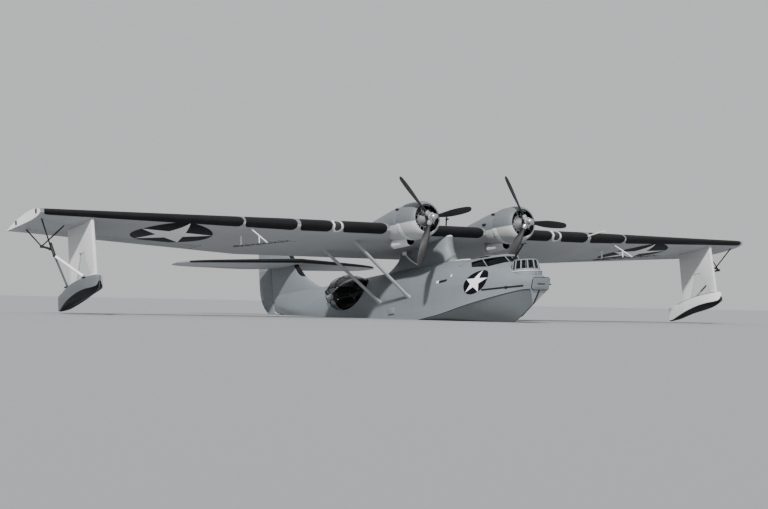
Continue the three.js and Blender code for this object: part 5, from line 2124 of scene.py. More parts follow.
@dataclass
class PowerPlant:
    """One engine with its cowl, nacelle, oil cooler and propeller."""

    side: int
    first_blade: float
    x: float = 2.105
    z: float = 4.09
    lip: float = 4.04
    prop_y: float = 3.85
    row_y: tuple[float, float] = (4.42, 4.68)
    per_row: int = 7
    gills: int = 20
    cooler_z: float = 3.43
    cowl_lines: Profile = (
        (0.50, 0.09), (0.488, 0.045), (0.491, 0.014), (0.508, 0.0), (0.531, 0.01), (0.552, 0.03),
        (0.573, 0.058), (0.592, 0.09), (0.609, 0.134), (0.626, 0.195), (0.639, 0.265), (0.655, 0.45),
        (0.656, 0.65), (0.65, 0.84), (0.64, 0.93), (0.63, 0.93), (0.638, 0.84), (0.642, 0.65),
        (0.638, 0.45), (0.618, 0.26), (0.588, 0.15),
    )
    gap_lines: Profile = ((0.58, 0.95), (0.632, 0.95), (0.632, 1.02), (0.58, 1.02))
    case_lines: Profile = (
        (0, 4.0), (0.075, 4.0), (0.095, 4.01), (0.12, 4.05), (0.2, 4.17), (0.235, 4.23), (0.245, 4.28),
        (0.262, 4.3), (0.262, 4.33), (0.25, 4.34), (0.26, 4.5), (0.26, 4.88), (0.42, 4.92), (0.42, 4.95),
        (0, 4.95),
    )
    nacelle_lines: Profile = (
        (0, 4.96), (0.52, 4.96), (0.575, 5.08), (0.597, 5.25), (0.59, 5.5), (0.555, 5.85), (0.49, 6.25),
        (0.42, 6.65), (0.355, 7.07), (0.27, 7.45), (0.12, 7.66), (0, 7.7),
    )
    duct_lines: Profile = (
        (0.14, 5.14), (0.145, 5.123), (0.153, 5.12), (0.163, 5.14), (0.165, 5.18), (0.165, 6.1), (0.14, 6.22),
        (0.1155, 6.25), (0, 6.25), (0, 5.62), (0.14, 5.62), (0.14, 5.14),
    )
    core_lines: Profile = ((0, 5.44), (0.139, 5.44), (0.139, 5.5), (0, 5.5))
    core_pitch: float = 0.024
    ignition_lines: Profile = ((0.265, 4.2), (0.285, 4.19), (0.295, 4.205), (0.285, 4.225))
    lead_lines: Profile = ((0.28, 4.21), (0.4, 4.25), (0.47, 4.33))
    stack_steps: Profile = ((0.0, 0.0), (0.05, 0.07), (0.068, 0.16))
    stacks: tuple[tuple[float, float, float], ...] = ((-43, 5.14, 0.56), (43, 5.14, 0.56), (79, 5.5, 0.55))

    def cowl(self, word: str, x: float) -> None:
        """Builds the ring cowl, near-black inside as painted shade, a bright arc in its mouth as a painted
        reflection, a near-black ring under the gills as painted shade, and the gills behind it.

        Args:
            word: left or right, as in the names of the pieces.
            x: place across, port positive.
        """
        lip = self.lip
        cowl = spun([(r, lip + back) for r, back in self.cowl_lines], x, self.z, 72, closed=True)

        def black(centre: Vector, normal: Vector) -> bool:
            """Tells whether a face is inside the cowl behind the lip, where the near-black paint is painted
            shade.
            """
            out = Vector((centre.x - x, centre.z - self.z))
            return centre.y > lip + 0.02 and out.dot(Vector((normal.x, normal.z))) < 0

        finish_faces(cowl, (Palette.cowl, Palette.dark), black)
        deliver(cowl, f"cowl_shell_{word}", Palette.cowl, replaces=[f"cowl_{word}"])
        gill = skin([[(sin(a) * r, y, cos(a) * r) for a, r in ring] for y, ring in self.gill_rings()])
        angles = [tau * (i + 0.5) / self.gills for i in range(self.gills)]
        gills = [copied(gill, turned(x, lip + 0.79, self.z, angle)) for angle in angles]
        bpy.data.objects.remove(gill)
        # Painted reflection: a bright bare-metal arc inside the top of the mouth.
        arc = [radians(66 + 4 * i) for i in range(13)]
        trim = pipe([(x + 0.472 * cos(a), lip + 0.08, self.z + 0.472 * sin(a)) for a in arc], 0.011, 8)
        deliver(trim, f"cowl_mouth_highlight_{word}", Palette.bare)
        # Painted shade: a near-black ring behind the cowl, under the gills.
        gap = spun([(r, lip + back) for r, back in self.gap_lines], x, self.z, 64, closed=True)
        deliver(gap, f"cowl_gap_shade_{word}", Palette.dark)
        ring = joined(gills)
        finish_faces(ring, (Palette.cowl, Palette.light), lambda centre, normal: centre.z < self.z - 0.12)
        deliver(ring, f"cowl_gills_{word}", Palette.cowl)

    def gill_rings(self) -> list[tuple[float, list[tuple[float, float]]]]:
        """Returns the sections of one cowl gill as y with pairs of angle and radius.

        Returns:
            The sections in order.
        """
        half = radians(360 / self.gills / 2 - 0.35)
        rings = []
        for y, radius in ((0.0, 0.657), (0.12, 0.654), (0.215, 0.643)):
            outer = [(-half + half * 2 * k / 4, radius) for k in range(5)]
            rings.append((y, outer + [(a, radius - 0.008) for a, _ in reversed(outer)]))
        return rings

    def engine(self, word: str, x: float) -> None:
        """Builds the crankcase, the two rows of cylinders and the ignition ring.

        Args:
            word: left or right, as in the names of the pieces.
            x: place across, port positive.
        """
        case = spun(self.case_lines, x, self.z, 40)
        ring = spun(self.ignition_lines, x, self.z, 40, closed=True)
        leads = []
        for i in range(2 * self.per_row):
            turn = tau * (i + 0.25) / (2 * self.per_row)
            out = Vector((cos(turn), 0, sin(turn)))
            centre = Vector((x, 0, self.z))
            route = [centre + out * reach + Vector((0, y, 0)) for reach, y in self.lead_lines]
            leads.append(pipe(route, 0.008, 6, True))
        deliver([case, ring, *leads], f"crankcase_{word}", Palette.engine)
        barrel, rods = Cylinder().build()
        barrels, tubes = [], []
        for row, y in enumerate(self.row_y):
            for i in range(self.per_row):
                place = turned(x, y, self.z, tau * (i + row * 0.5) / self.per_row)
                barrels.append(copied(barrel, place))
                tubes.append(copied(rods, place))
        bpy.data.objects.remove(barrel)
        bpy.data.objects.remove(rods)
        deliver(barrels, f"cylinders_{word}", Palette.fins, replaces=[f"engine_{word}"])
        deliver(tubes, f"push_rods_{word}", Palette.bare)

    def nacelle(self, word: str, x: float) -> None:
        """Builds the nacelle and its exhaust outlets.

        Args:
            word: left or right, as in the names of the pieces.
            x: place across, port positive.
        """
        body = spun(self.nacelle_lines, x, self.z, 64)
        deliver(body, f"nacelle_shell_{word}", Palette.cowl, replaces=[f"nacelle_{word}"])
        stacks = []
        for way, y, reach in self.stacks:
            turn = radians(90 + way * self.side)
            out = Vector((cos(turn), 0, sin(turn)))
            foot = Vector((x, y, self.z)) + out * reach
            route = [foot + Vector((0, back, 0)) + out * away for away, back in self.stack_steps]
            stacks.append(pipe(route, 0.042, 14, True))
        deliver(stacks, f"exhausts_{word}", Palette.dark)

    def cooler(self, word: str, x: float) -> None:
        """Builds the oil cooler's duct and its core.

        Args:
            word: left or right, as in the names of the pieces.
            x: place across, port positive.
        """
        z = self.cooler_z
        duct = spun(self.duct_lines, x, z, 40)

        def coat(centre: Vector, normal: Vector) -> int:
            """Returns 2 inside the mouth, near-black as painted shade, 1 on the tapered tail, in the darker
            underside grey as painted shade, and 0 elsewhere.
            """
            inward = Vector((centre.x - x, 0, centre.z - z)).dot(normal) < 0
            return 2 if centre.y < 5.66 and inward else int(centre.y > 5.98)

        finish_faces(duct, (Palette.light, Palette.under, Palette.dark), coat)
        deliver(
            duct, f"cooler_duct_{word}", Palette.light, replaces=[f"oil_cooler_{word}"],
            slot="underside_paint",
        )
        core = [spun(self.core_lines, x, z, 32)]
        for i in range(-5, 6):
            reach = sqrt(0.135**2 - (i * self.core_pitch) ** 2)
            core.append(block((0.004, 0.012, reach * 2), (x + i * self.core_pitch, 5.432, z)))
        deliver(core, f"cooler_core_{word}", Palette.dark)

    def build(self, word: str) -> None:
        """Builds all the pieces of one side.

        Args:
            word: left or right, as in the names of the pieces.
        """
        x = self.side * self.x
        self.cowl(word, x)
        self.engine(word, x)
        self.nacelle(word, x)
        self.cooler(word, x)
        Propeller(x, self.z, self.prop_y, self.first_blade).build(word)


# Tail


class TailStation(NamedTuple):
    """One section of a tail surface: place along the span, edges and thickness share."""

    span: float
    le: float
    te: float
    thick: float


Placer = Callable[[float, float, float], Vector]


@dataclass
class Tail:
    """Fin, rudder, stabilizers and elevators with their boots and trim tabs."""

    shape: Aerofoil = field(default_factory=lambda: Aerofoil(0.0))
    fin_hinge: float = 18.15
    level_hinge: float = 17.75
    level_z: float = 4.05
    clear: float = 0.008
    edge: float = 0.006
    fin: tuple[TailStation, ...] = (
        TailStation(2.60, 13.70, 19.05, 0.045),
        TailStation(2.82, 14.40, 19.15, 0.055),
        TailStation(3.00, 14.88, 19.20, 0.065),
        TailStation(3.40, 15.60, 19.235, 0.08),
        TailStation(4.36, 16.54, 19.24, 0.09),
        TailStation(5.10, 17.20, 19.12, 0.09),
        TailStation(5.50, 17.60, 18.88, 0.09),
        TailStation(5.72, 17.99, 18.48, 0.08),
    )
    rudder_foot: tuple[TailStation, ...] = (
        TailStation(2.08, 16.50, 18.45, 0.06),
        TailStation(2.30, 15.40, 18.80, 0.055),
    )
    level: tuple[TailStation, ...] = (
        TailStation(0.10, 15.80, 19.03, 0.09),
        TailStation(1.30, 16.13, 19.01, 0.09),
        TailStation(3.40, 16.76, 18.80, 0.09),
        TailStation(4.15, 17.08, 18.62, 0.09),
        TailStation(4.48, 17.34, 18.44, 0.09),
        TailStation(4.65, 17.62, 18.19, 0.08),
    )
    fin_boot: tuple[float, float, float] = (3.38, 5.45, 0.075)
    level_boot: tuple[float, float, float] = (-0.12, 4.35, 0.05)
    rudder_tab: tuple[float, float, float] = (2.75, 3.75, 0.26)
    elevator_tab: tuple[float, float, float] = (1.0, 2.2, 0.2)
    lamp_lines: Profile = ((0, 5.76), (0.03, 5.75), (0.04, 5.72), (0.04, 5.70), (0, 5.70))
    swing_inner: float = 0.19
    swing_outer: float = 0.86

    def upright(self, span: float, along: float, across: float) -> Vector:
        """Places a point of the fin or rudder."""
        return Vector((across, along, span))

    def flat(self, side: int) -> Placer:
        """Returns the way to place a point of a stabilizer or elevator."""
        return lambda span, along, across: Vector((side * span, along, self.level_z + across))

    def rows(self, table: Sequence[TailStation], count: int) -> list[TailStation]:
        """Returns sections along the span, closer together near the tip."""
        first, last = table[0].span, table[-1].span
        return [row_at(table, first + (last - first) * sin(i / count * pi / 2)) for i in range(count + 1)]

    def nose(self, row: TailStation, hinge: float) -> float:
        """Returns half the thickness at the hinge."""
        chord = row.te - row.le
        return self.shape.half((hinge - row.le) / chord, row.thick) * chord

    def fixed_ring(self, row: TailStation, hinge: float, place: Placer, steps: int = 16) -> Ring:
        """Returns the section ahead of a hinge.

        Args:
            row: sizes of the section.
            hinge: y of the hinge line.
            place: turns span, y and stand-off into a point.
            steps: points along a face.

        Returns:
            The points in order.
        """
        chord = row.te - row.le
        end = (hinge - self.nose(row, hinge) - self.clear - row.le) / chord
        shares = [end * (1 - cos(i / steps * pi / 2)) for i in range(steps + 1)]
        around = [(c, -1) for c in shares] + [(c, 1) for c in reversed(shares[1:])]
        return [
            place(row.span, row.le + c * chord, face * self.shape.half(c, row.thick) * chord)
            for c, face in around
        ]

    def moving_ring(self, row: TailStation, hinge: float, place: Placer, steps: int = 12) -> Ring:
        """Returns the section behind a hinge: a round nose and a thin wedge.

        Args:
            row: sizes of the section.
            hinge: y of the hinge line.
            place: turns span, y and stand-off into a point.
            steps: parts round the nose.

        Returns:
            The points in order.
        """
        nose = self.nose(row, hinge)
        turns = [pi / 2 + i / steps * pi for i in range(steps + 1)]
        points = [place(row.span, hinge + nose * cos(t), nose * sin(t)) for t in turns]
        return points + [place(row.span, row.te, -self.edge), place(row.span, row.te, self.edge)]

    def surface(self, table: Sequence[TailStation], place: Placer) -> Surface:
        """Returns the way to find a point on a surface, for a boot."""

        def point(span: float, c: float, face: int, proud: float) -> Vector:
            """Returns a point from the span, the share of the chord, the face and the stand-off.

            Args:
                span: place along the span.
                c: share of the chord behind the leading edge.
                face: 1 for the upper face, -1 for the lower.
                proud: stand-off from the surface.

            Returns:
                The point.
            """
            row = row_at(table, span)
            chord = row.te - row.le
            ahead = -proud * max(0.0, 1 - c / 0.004) if proud else 0.0
            return place(
                span, row.le + c * chord + ahead, face * (self.shape.half(c, row.thick) * chord + proud)
            )

        return point

    def tab(self, table: Sequence[TailStation], size: Point, place: Placer) -> Piece:
        """Builds a trim tab and its push rod at a trailing edge.

        Args:
            table: the surface's sections.
            size: the tab's two ends along the span and its depth.
            place: the way to place a point.

        Returns:
            The tab with its rod.
        """
        start, end, deep = size
        rings = []
        for i in range(5):
            row = row_at(table, start + (end - start) * i / 4)
            chord = row.te - row.le
            front = row.te - deep
            share = (front - row.le) / chord
            half = self.shape.half(share, row.thick) * chord * 0.72 + 0.004
            rings.append([
                place(row.span, front, -half), place(row.span, row.te - 0.004, -self.edge - 0.004),
                place(row.span, row.te - 0.004, self.edge + 0.004), place(row.span, front, half),
            ])
        horn_at = row_at(table, start + (end - start) * 0.4)
        ends = ((-0.25, 0.02), (0.03, 0.075))
        rod = pipe([place(horn_at.span, horn_at.te - deep + back, up) for back, up in ends], 0.008, 6)
        return joined([skin(rings), rod])

    def build(self) -> None:
        """Builds the fin group and both sides of the horizontal tail."""
        fin = skin([self.fixed_ring(row, self.fin_hinge, self.upright) for row in self.rows(self.fin, 30)])
        deliver(fin, "fin_skin", Palette.skin, replaces=["fin"])
        whole = (*self.rudder_foot, *self.fin)
        rudder = skin([self.moving_ring(row, self.fin_hinge, self.upright) for row in self.rows(whole, 34)])
        deliver(rudder, "rudder_skin", Palette.rudder_fabric, "rudder", ["rudder"])
        deliver(self.tab(whole, self.rudder_tab, self.upright), "rudder_tab", Palette.fabric, "rudder")
        boots = [leading_boot(self.surface(self.fin, self.upright), *self.fin_boot)]
        for side, word in SIDES:
            place = self.flat(side)
            root = self.level[0]._replace(span=0.0, le=self.level[0].le - 0.03)
            fixed = [root, *self.rows(self.level, 26)]
            deliver(
                skin([self.fixed_ring(row, self.level_hinge, place) for row in fixed]),
                f"stabilizer_skin_{word}", Palette.tail, replaces=[f"stabilizer_{word}"],
            )
            elevator = skin(
                [self.moving_ring(row, self.level_hinge, place) for row in self.rows(self.level, 26)]
            )
            inner, front, rear = -0.05, self.level_hinge - 0.5, self.fin_hinge + 1.3
            corners = [
                (inner, front), (self.swing_inner, front), (self.swing_inner, self.fin_hinge - 0.02),
                (self.swing_outer, rear), (inner, rear),
            ]
            swing = skin([[(side * x, y, self.level_z + up) for x, y in corners] for up in (-0.4, 0.4)])
            carve(elevator, swing)
            deliver(elevator, f"elevator_skin_{word}", Palette.fabric, "elevators", [f"elevator_{word}"])
            deliver(
                self.tab(self.level, self.elevator_tab, place), f"elevator_tab_{word}", Palette.fabric,
                "elevators",
            )
            boots.append(leading_boot(self.surface(self.level, place), *self.level_boot))
        deliver(boots, "tail_boots", Palette.boot)
        lamp = upright_spun(self.lamp_lines, 0, 18.12, 20)
        deliver(lamp, "fin_lamp", Palette.bare, slot="dark_steel")


# Wing floats


class FloatStation(NamedTuple):
    """One section of a wing float: place aft, deck, chine and keel heights, half width."""

    y: float
    deck: float
    chine: float
    keel: float
    half: float


@dataclass
class WingFloat:
    """A lowered wing float with its strut panel and folding brace."""

    side: int
    x: float = 13.61
    panel_x: float = 13.60
    panel_thick: float = 0.11
    lines: tuple[FloatStation, ...] = (
        FloatStation(6.19, 2.050, 1.900, 1.850, 0.035),
        FloatStation(6.24, 2.075, 1.760, 1.700, 0.090),
        FloatStation(6.38, 2.090, 1.700, 1.600, 0.185),
        FloatStation(6.75, 2.065, 1.665, 1.490, 0.310),
        FloatStation(7.35, 2.010, 1.580, 1.405, 0.350),
        FloatStation(8.00, 1.915, 1.430, 1.330, 0.335),
        FloatStation(8.55, 1.800, 1.290, 1.245, 0.250),
        FloatStation(8.90, 1.735, 1.205, 1.175, 0.165),
        FloatStation(9.24, 1.685, 1.180, 1.160, 0.085),
    )
    outline: Profile = (
        (6.41, 1.95), (6.74, 1.95), (7.27, 2.92), (7.64, 2.92), (8.01, 1.85), (8.38, 1.78), (8.48, 3.88),
        (6.64, 4.00),
    )
    pad_y: tuple[float, ...] = (6.82, 8.15)
    cap_y: tuple[float, ...] = (6.45, 7.55, 8.5)
    foot_y: tuple[float, ...] = (6.575, 8.19)
    cap_lines: Profile = ((0, 0.012), (0.06, 0.012), (0.07, 0.004), (0.07, -0.02), (0, -0.02))
    outer: Point = (14.955, 7.67, 3.125)
    inner: Point = (14.64, 7.70, 3.06)
    crown: Point = (14.63, 7.70, 3.25)
    foot: Point = (14.56, 7.55, 2.82)
    # The knee's rods below and the rear rod after them are dark as painted shade; the front rod is white.
    shaded_rods: tuple[tuple[Point, Point, float], ...] = (
        (outer, (14.93, 8.90, 3.83), 0.024),
        (outer, (14.24, 7.48, 3.80), 0.024),
        ((14.68, 7.60, 3.16), (15.18, 7.12, 3.96), 0.024),
        (outer, inner, 0.038),
        (foot, crown, 0.053),
    )
    shaded_rear_rod: tuple[Point, Point, float] = (foot, (13.85, 8.15, 1.89), 0.036)
    light_rod: tuple[Point, Point, float] = (foot, (13.85, 6.82, 2.05), 0.046)

    def ring(self, s: FloatStation) -> Ring:
        """Returns a whole section of the float.

        Args:
            s: sizes of the section.

        Returns:
            The points in order.
        """
        side = s.deck - s.chine
        half = [
            (0.0, s.keel), (0.33, s.keel + (s.chine - s.keel) * 0.26),
            (0.66, s.keel + (s.chine - s.keel) * 0.6), (0.97, s.chine), (0.985, s.chine + side * 0.12),
            (1.0, s.chine + side * 0.4), (0.99, s.deck - side * 0.3), (0.93, s.deck - side * 0.12),
            (0.78, s.deck - side * 0.03), (0.4, s.deck), (0.0, s.deck),
        ]
        port = [(self.side * self.x + x * s.half, s.y, z) for x, z in half]
        return port + [(self.side * self.x - x * s.half, s.y, z) for x, z in reversed(half[1:-1])]

    def body(self, word: str) -> None:
        """Builds the float, its chine strips, deck fittings and end caps.

        Args:
            word: left or right, as in the names of the pieces.
        """
        first, last = self.lines[0].y, self.lines[-1].y
        rows = [row_at(self.lines, first + (last - first) * (1 - cos(i / 44 * pi)) / 2) for i in range(45)]
        shell = skin([self.ring(s) for s in rows])

        def coat(centre: Vector, normal: Vector) -> int:
            """Returns 1 under the chine, 2 on the outboard side and the deck, 0 on the inboard side."""
            if centre.z < row_at(self.lines, centre.y).chine - 0.001 and normal.z < -0.15:
                return 1
            return 0 if (centre.x - self.side * self.x) * self.side < 0 and normal.z < 0.6 else 2

        finish_faces(shell, (Palette.float, Palette.dark_bottom, Palette.float_outboard), coat)
        deliver(shell, f"float_shell_{word}", Palette.float, replaces=[f"float_{word}"])
        x = self.side * self.x
        strips = [
            pipe([(x + way * s.half * 0.97, s.y, s.chine) for s in rows[3:-2]], 0.008, 6) for way in (-1, 1)
        ]
        strips.append(pipe([(x, s.y, s.keel) for s in rows[1:-1]], 0.008, 6))
        deliver(strips, f"float_strips_{word}", Palette.float_outboard)
        pads = []
        for y in self.pad_y:
            deck = row_at(self.lines, y).deck
            pads.append(block((0.16, 0.22, 0.05), (self.side * 13.84, y, deck - 0.02), 0.008))
        for y in self.cap_y:
            deck = row_at(self.lines, y).deck
            pads.append(upright_spun([(r, deck + up) for r, up in self.cap_lines], x, y, 24))
        deliver(pads, f"float_fittings_{word}", Palette.dark)

    def panel(self, word: str) -> None:
        """Builds the strut panel with its two legs and feet.

        Args:
            word: left or right, as in the names of the pieces.
        """
        faces = (self.side * self.panel_x + way * self.panel_thick / 2 for way in (-1, 1))
        rings = [[(x, y, z) for y, z in self.outline] for x in faces]
        plate = eased(skin(rings), 0.03, 3)
        feet = []
        for y in self.foot_y:
            deck = row_at(self.lines, y).deck
            feet.append(block((0.28, 0.3, 0.05), (self.side * self.x, y, deck + 0.015), 0.015))
        deliver([plate, *feet], f"float_panel_skin_{word}", Palette.panel, replaces=[f"float_panel_{word}"])

    def brace(self, word: str) -> None:
        """Builds the knee casting and the rods of the folding brace; the knee and its upper rods are
        near-black and the rear rod blue-grey as painted shade, and the front rod is white.

        Args:
            word: left or right, as in the names of the pieces.
        """
        mirror = Vector((self.side, 1, 1))
        knuckles = [
            block((0.1, 0.12, 0.1), Vector(at) * mirror, 0.03) for at in (self.outer, self.inner, self.foot)
        ]
        corners = [Vector(at) * mirror for at in (self.inner, self.crown, self.foot)]
        knuckles.append(skin([[at + Vector((0, way * 0.03, 0)) for at in corners] for way in (-1, 1)]))
        start, end, radius = self.light_rod
        start, end = Vector(start) * mirror, Vector(end) * mirror
        rod = pipe([start.lerp(end, 0.04), end.lerp(start, 0.05)], radius, 12)
        deliver(rod, f"float_brace_rod_{word}", Palette.white, replaces=[f"float_brace_{word}"])
        start, end, radius = self.shaded_rear_rod
        rear = pipe([Vector(start) * mirror, Vector(end) * mirror], radius, 12)
        deliver(rear, f"float_brace_rear_rod_{word}", Palette.skin, slot="dark_steel")
        for start, end, radius in self.shaded_rods:
            knuckles.append(pipe([Vector(start) * mirror, Vector(end) * mirror], radius, 12))
        deliver(knuckles, f"float_brace_knee_{word}", Palette.shaded_brace_rods)

    def build(self, word: str) -> None:
        """Builds all the pieces of one side.

        Args:
            word: left or right, as in the names of the pieces.
        """
        self.body(word)
        self.panel(word)
        self.brace(word)


# Aerials and fittings


@dataclass
class Aerials:
    """The arrays under the wing, the forward mast and the small masts on the wing."""

    x: float = 8.0
    post_y: float = 6.77
    brace_y: float = 6.36
    brace_foot: float = 4.98
    stub_y: float = 5.54
    boom_z: float = 3.17
    boom_front: float = 3.60
    boom_rear: float = 7.30
    droop: float = 0.26
    rod: float = 0.34
    rods: int = 5
    mast: tuple[Point, Point] = ((0, 2.035, 2.44), (0, 1.43, 2.93))
    wing_mast: tuple[Point, Point] = ((0, 5.86, 4.15), (0, 5.78, 4.6))

    def boom_at(self, side: int, t: float) -> Vector:
        """Returns a place along the boom."""
        along = self.boom_front + (self.boom_rear - self.boom_front) * t
        return Vector((side * self.x, along, self.boom_z - self.droop * (0.5 - t)))

    def array(self, side: int, word: str) -> None:
        """Builds one array: post, brace, boom and cross rods with insulators.

        Args:
            side: port or starboard.
            word: left or right, as in the names of the pieces.
        """
        across = side * self.x
        long = self.boom_rear - self.boom_front
        post, brace, stub = (
            self.boom_at(side, (y - self.boom_front) / long)
            for y in (self.post_y, self.brace_foot, self.stub_y)
        )
        pieces = [
            faired_bar((across, self.post_y, 3.92), post, 0.088, 0.038),
            faired_bar((across, self.brace_y, 3.93), brace, 0.046, 0.034),
            faired_bar((across, self.stub_y, 3.45), stub, 0.058, 0.028),
        ]
        boom, beads = [pipe([self.boom_at(side, 0), self.boom_at(side, 1)], 0.019, 10)], []
        for i in range(self.rods):
            at = self.boom_at(side, (i + 0.2) / self.rods)
            boom.append(pipe([at - Vector((self.rod, 0, 0)), at + Vector((self.rod, 0, 0))], 0.009, 8))
            beads.append(block((0.07, 0.05, 0.05), at, 0.012))
        deliver(pieces, f"aerial_posts_{word}", Palette.white, replaces=[f"aerial_{word}"])
        deliver(boom, f"aerial_boom_{word}", Palette.aerial)
        deliver(beads, f"aerial_insulators_{word}", Palette.dark)

    def build(self) -> None:
        """Builds both arrays and the masts."""
        for side, word in SIDES:
            self.array(side, word)
        mast = faired_bar(*self.mast, 0.078, 0.048)
        head = block((0.07, 0.3, 0.024), (0, 1.42, 2.935), 0.01)
        deliver([mast, head], "forward_mast_skin", Palette.dark, replaces=["forward_mast"])
        tops = [faired_bar(*self.wing_mast, 0.07, 0.05), block((0.08, 0.14, 0.05), (0, 5.78, 4.37), 0.012)]
        deliver(tops, "wing_mast", Palette.dark)


@dataclass
class Fittings:
    """Beaching pads, the mooring post and the landing lamps."""

    pad: Point = (1.515, 7.35, 1.18)
    post_lines: Profile = ((0, 1.6), (0.034, 1.6), (0.034, 1.845), (0.035, 1.862), (0, 1.868))
    rim: tuple[float, float, float, float] = (4.645, 5.015, 0.062, 0.008)
    lamp: tuple[float, float, float, float] = (4.70, 4.96, 0.040, 0.014)

    def build(self) -> None:
        """Builds the fittings."""
        for side, word in SIDES:
            x, y, z = self.pad
            pad = block((0.11, 0.38, 0.24), (side * x, y, z), 0.02)
            bolts = [
                block((0.012, 0.03, 0.03), (side * (x + 0.052), y + dy, z + dz), 0.005)
                for dy in (-0.14, 0.14)
                for dz in (-0.08, 0.08)
            ]
            deliver(
                [pad, *bolts], f"beaching_pad_plate_{word}", Palette.skin, replaces=[f"beaching_pad_{word}"]
            )
        post = [
            upright_spun(self.post_lines, 0, 0.72, 24),
            pipe([(-0.099, 0.72, 1.848), (0.099, 0.72, 1.848)], 0.017, 12),
        ]
        deliver(post, "mooring_post_bar", Palette.skin, replaces=["mooring_post"])
        wing = Wing()
        lamps, rims = [], []
        for side, _ in SIDES:
            for pieces, (start, end, reach, thick) in ((rims, self.rim), (lamps, self.lamp)):
                pieces.append(leading_boot(wing.surface, side * start, side * end, reach, thick))
        deliver(lamps, "landing_lamps", Palette.lens)
        deliver(rims, "landing_lamp_rims", Palette.light, slot="white_paint")


# Crew places


@dataclass
class CrewPlaces:
    """Seats, instrument panel, control wheels and waist guns."""

    floor: float = 1.50
    seat_x: float = 0.33
    seat_blocks: tuple[tuple[Point, float, float, float], ...] = (
        ((0.09, 0.38, 0.26), 3.12, 0.15, 0.01),
        ((0.43, 0.43, 0.05), 3.12, 0.30, 0.015),
        ((0.43, 0.05, 0.56), 3.33, 0.58, 0.02),
    )
    cushion_blocks: tuple[tuple[Point, float, float, float], ...] = (
        ((0.38, 0.38, 0.05), 3.10, 0.32, 0.02),
        ((0.38, 0.035, 0.5), 3.30, 0.58, 0.015),
    )
    gun: Point = (0.82, 10.76, 1.28)
    gun_post: Profile = ((0, 0), (0.045, 0), (0.045, 0.02), (0.035, 0.7), (0, 0.7))
    dial_lines: Profile = (
        (0.0, 2.358), (0.04, 2.358), (0.045, 2.368), (0.052, 2.366), (0.052, 2.355), (0, 2.355),
    )

    def seats(self) -> None:
        """Builds the cockpit floor and two padded seats, each block by size, place aft, height and edge."""
        pieces, cushions = [block((1.15, 1.4, 0.024), (0, 3.12, self.floor + 0.014))], []
        for side, _ in SIDES:
            x = side * self.seat_x
            pieces += [block(size, (x, y, self.floor + up), edge) for size, y, up, edge in self.seat_blocks]
            cushions += [
                block(size, (x, y, self.floor + up), edge) for size, y, up, edge in self.cushion_blocks
            ]
        deliver(pieces, "seat_frames", Palette.cabin, replaces=["pilots_seats"])
        deliver(cushions, "seat_cushions", Palette.leather)

    def panel(self) -> None:
        """Builds the instrument panel, its dials and the control wheels."""
        pieces = [block((1.0, 0.06, 0.42), (0, 2.33, self.floor + 0.52), 0.02)]
        pieces += [block((0.06, 0.05, 0.32), (side * 0.38, 2.33, self.floor + 0.165)) for side, _ in SIDES]
        deliver(pieces, "instrument_board", Palette.cabin, replaces=["instrument_panel"])
        dials = []
        for row, z in enumerate((2.08, 1.96)):
            for i in range(7):
                x = (i - 3) * 0.13 + row * 0.03
                dials.append(spun(self.dial_lines, x, z, 20))
        deliver(dials, "instrument_dials", Palette.dark, slot="cabin_paint")
        wheels = []
        for side, _ in SIDES:
            x, z = side * self.seat_x, self.floor + 0.56
            wheels.append(pipe([(x, 2.35, z), (x, 2.65, z)], 0.022, 10))
            wheels.append(
                spun([(0.14, 2.65), (0.15, 2.64), (0.16, 2.65), (0.15, 2.66)], x, z, 32, closed=True)
            )
            wheels.append(pipe([(x - 0.15, 2.65, z), (x + 0.15, 2.65, z)], 0.012, 8))
        deliver(wheels, "control_wheels", Palette.dark, slot="cabin_paint")

    def guns(self) -> None:
        """Builds the waist guns on their posts."""
        for side, word in SIDES:
            x, y, floor = side * self.gun[0], *self.gun[1:]
            post = upright_spun([(r, floor + up) for r, up in self.gun_post], x, y, 20)
            parts = [
                post,
                block((0.09, 0.2, 0.11), (x, y, floor + 0.74), 0.015),
                block((0.08, 0.62, 0.13), (x, y + 0.06, floor + 0.85), 0.012),
                pipe([(x, y - 0.23, floor + 0.87), (x, y - 0.85, floor + 0.87)], 0.022, 14),
                pipe([(x - 0.04, y + 0.4, floor + 0.9), (x + 0.04, y + 0.4, floor + 0.9)], 0.014, 8),
            ]
            deliver(parts, f"waist_gun_metal_{word}", Palette.dark, replaces=[f"waist_gun_{word}"])

    def build(self) -> None:
        """Builds everything inside the hull."""
        self.seats()
        self.panel()
        self.guns()


# Studio


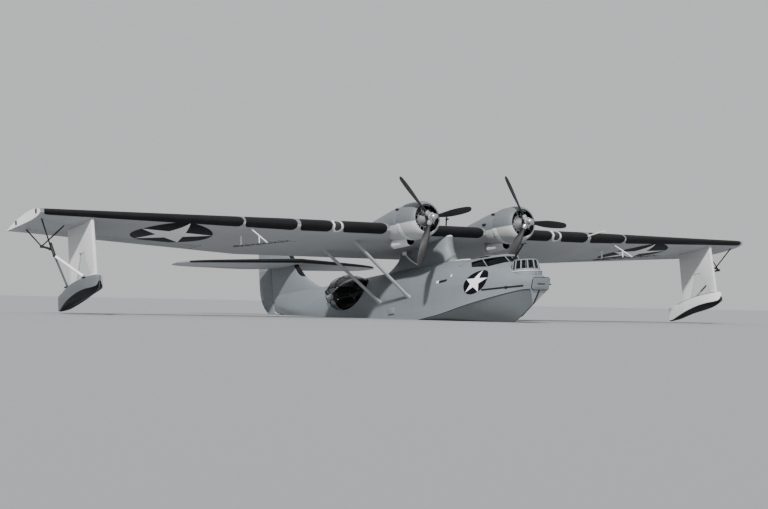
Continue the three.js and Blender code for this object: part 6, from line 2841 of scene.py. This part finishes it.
@dataclass
class Studio:
    """Camera, light and floor."""

    camera_at: Point = (-41.575, -59.796, 0.594)
    forward: Point = (0.55611, 0.83076, 0.02415)
    up: Point = (-0.03038, -0.00872, 0.9995)
    lens: float = 92.93
    sun_from: Point = (-1.0, -1.11, 1.13)
    sun_strength: float = 4.8
    sky_colour: Colour = (0.60, 0.61, 0.62)
    sky_strength: float = 1.04
    floor_colour: Colour = (0.30, 0.31, 0.32)
    floor_size: float = 3000.0

    def camera(self) -> None:
        """Places the camera low off the starboard bow."""
        data = bpy.data.cameras.new("camera")
        data.sensor_width = 36.0
        data.lens = self.lens
        data.clip_end = 3000.0
        camera = added("camera", data)
        ahead = Vector(self.forward).normalized()
        side = ahead.cross(Vector(self.up)).normalized()
        over = side.cross(ahead)
        turn = Matrix((side, over, -ahead)).transposed().to_4x4()
        camera.matrix_world = Matrix.Translation(self.camera_at) @ turn
        bpy.context.scene.camera = camera

    def lights(self) -> None:
        """Sets a broad sun over the starboard bow and a pale sky."""
        sun = bpy.data.lights.new("sun", "SUN")
        sun.energy = self.sun_strength
        sun.angle = radians(3)
        lamp = added("sun", sun)
        lamp.rotation_mode = "QUATERNION"
        lamp.rotation_quaternion = Vector(self.sun_from).to_track_quat("Z", "Y")
        world = bpy.data.worlds.new("studio")
        world.use_nodes = True
        backdrop = world.node_tree.nodes["Background"]
        backdrop.inputs["Color"].default_value = (*self.sky_colour, 1)
        backdrop.inputs["Strength"].default_value = self.sky_strength
        bpy.context.scene.world = world

    def floor(self) -> None:
        """Lays the plain pale floor at the waterline."""
        bpy.ops.object.select_all(action="DESELECT")
        bpy.ops.mesh.primitive_plane_add(size=1)
        floor = bpy.context.object
        floor.name = "floor"
        edit(floor, lambda: bpy.ops.transform.resize(value=(self.floor_size, self.floor_size, 1)))
        bench = ShaderBench("floor_pale")
        bench.surface(colour=self.floor_colour, rough=0.85)
        floor.data.materials.append(bench.material)


def main() -> None:
    """Builds the flying boat in order."""
    logging.basicConfig(level=logging.INFO, format="%(message)s")
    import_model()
    studio = Studio()
    studio.camera()
    studio.lights()
    studio.floor()
    Hull().build()
    Canopy().build()
    for side, word in SIDES:
        Blister(side).build(word)
    Turret().build()
    CrewPlaces().build()
    Pylon().build()
    Wing().build()
    PowerPlant(PORT, -28.0).build("left")
    PowerPlant(STARBOARD, -42.0).build("right")
    Tail().build()
    for side, word in SIDES:
        WingFloat(side).build(word)
    Aerials().build()
    Fittings().build()


if __name__ == "__main__":
    main()
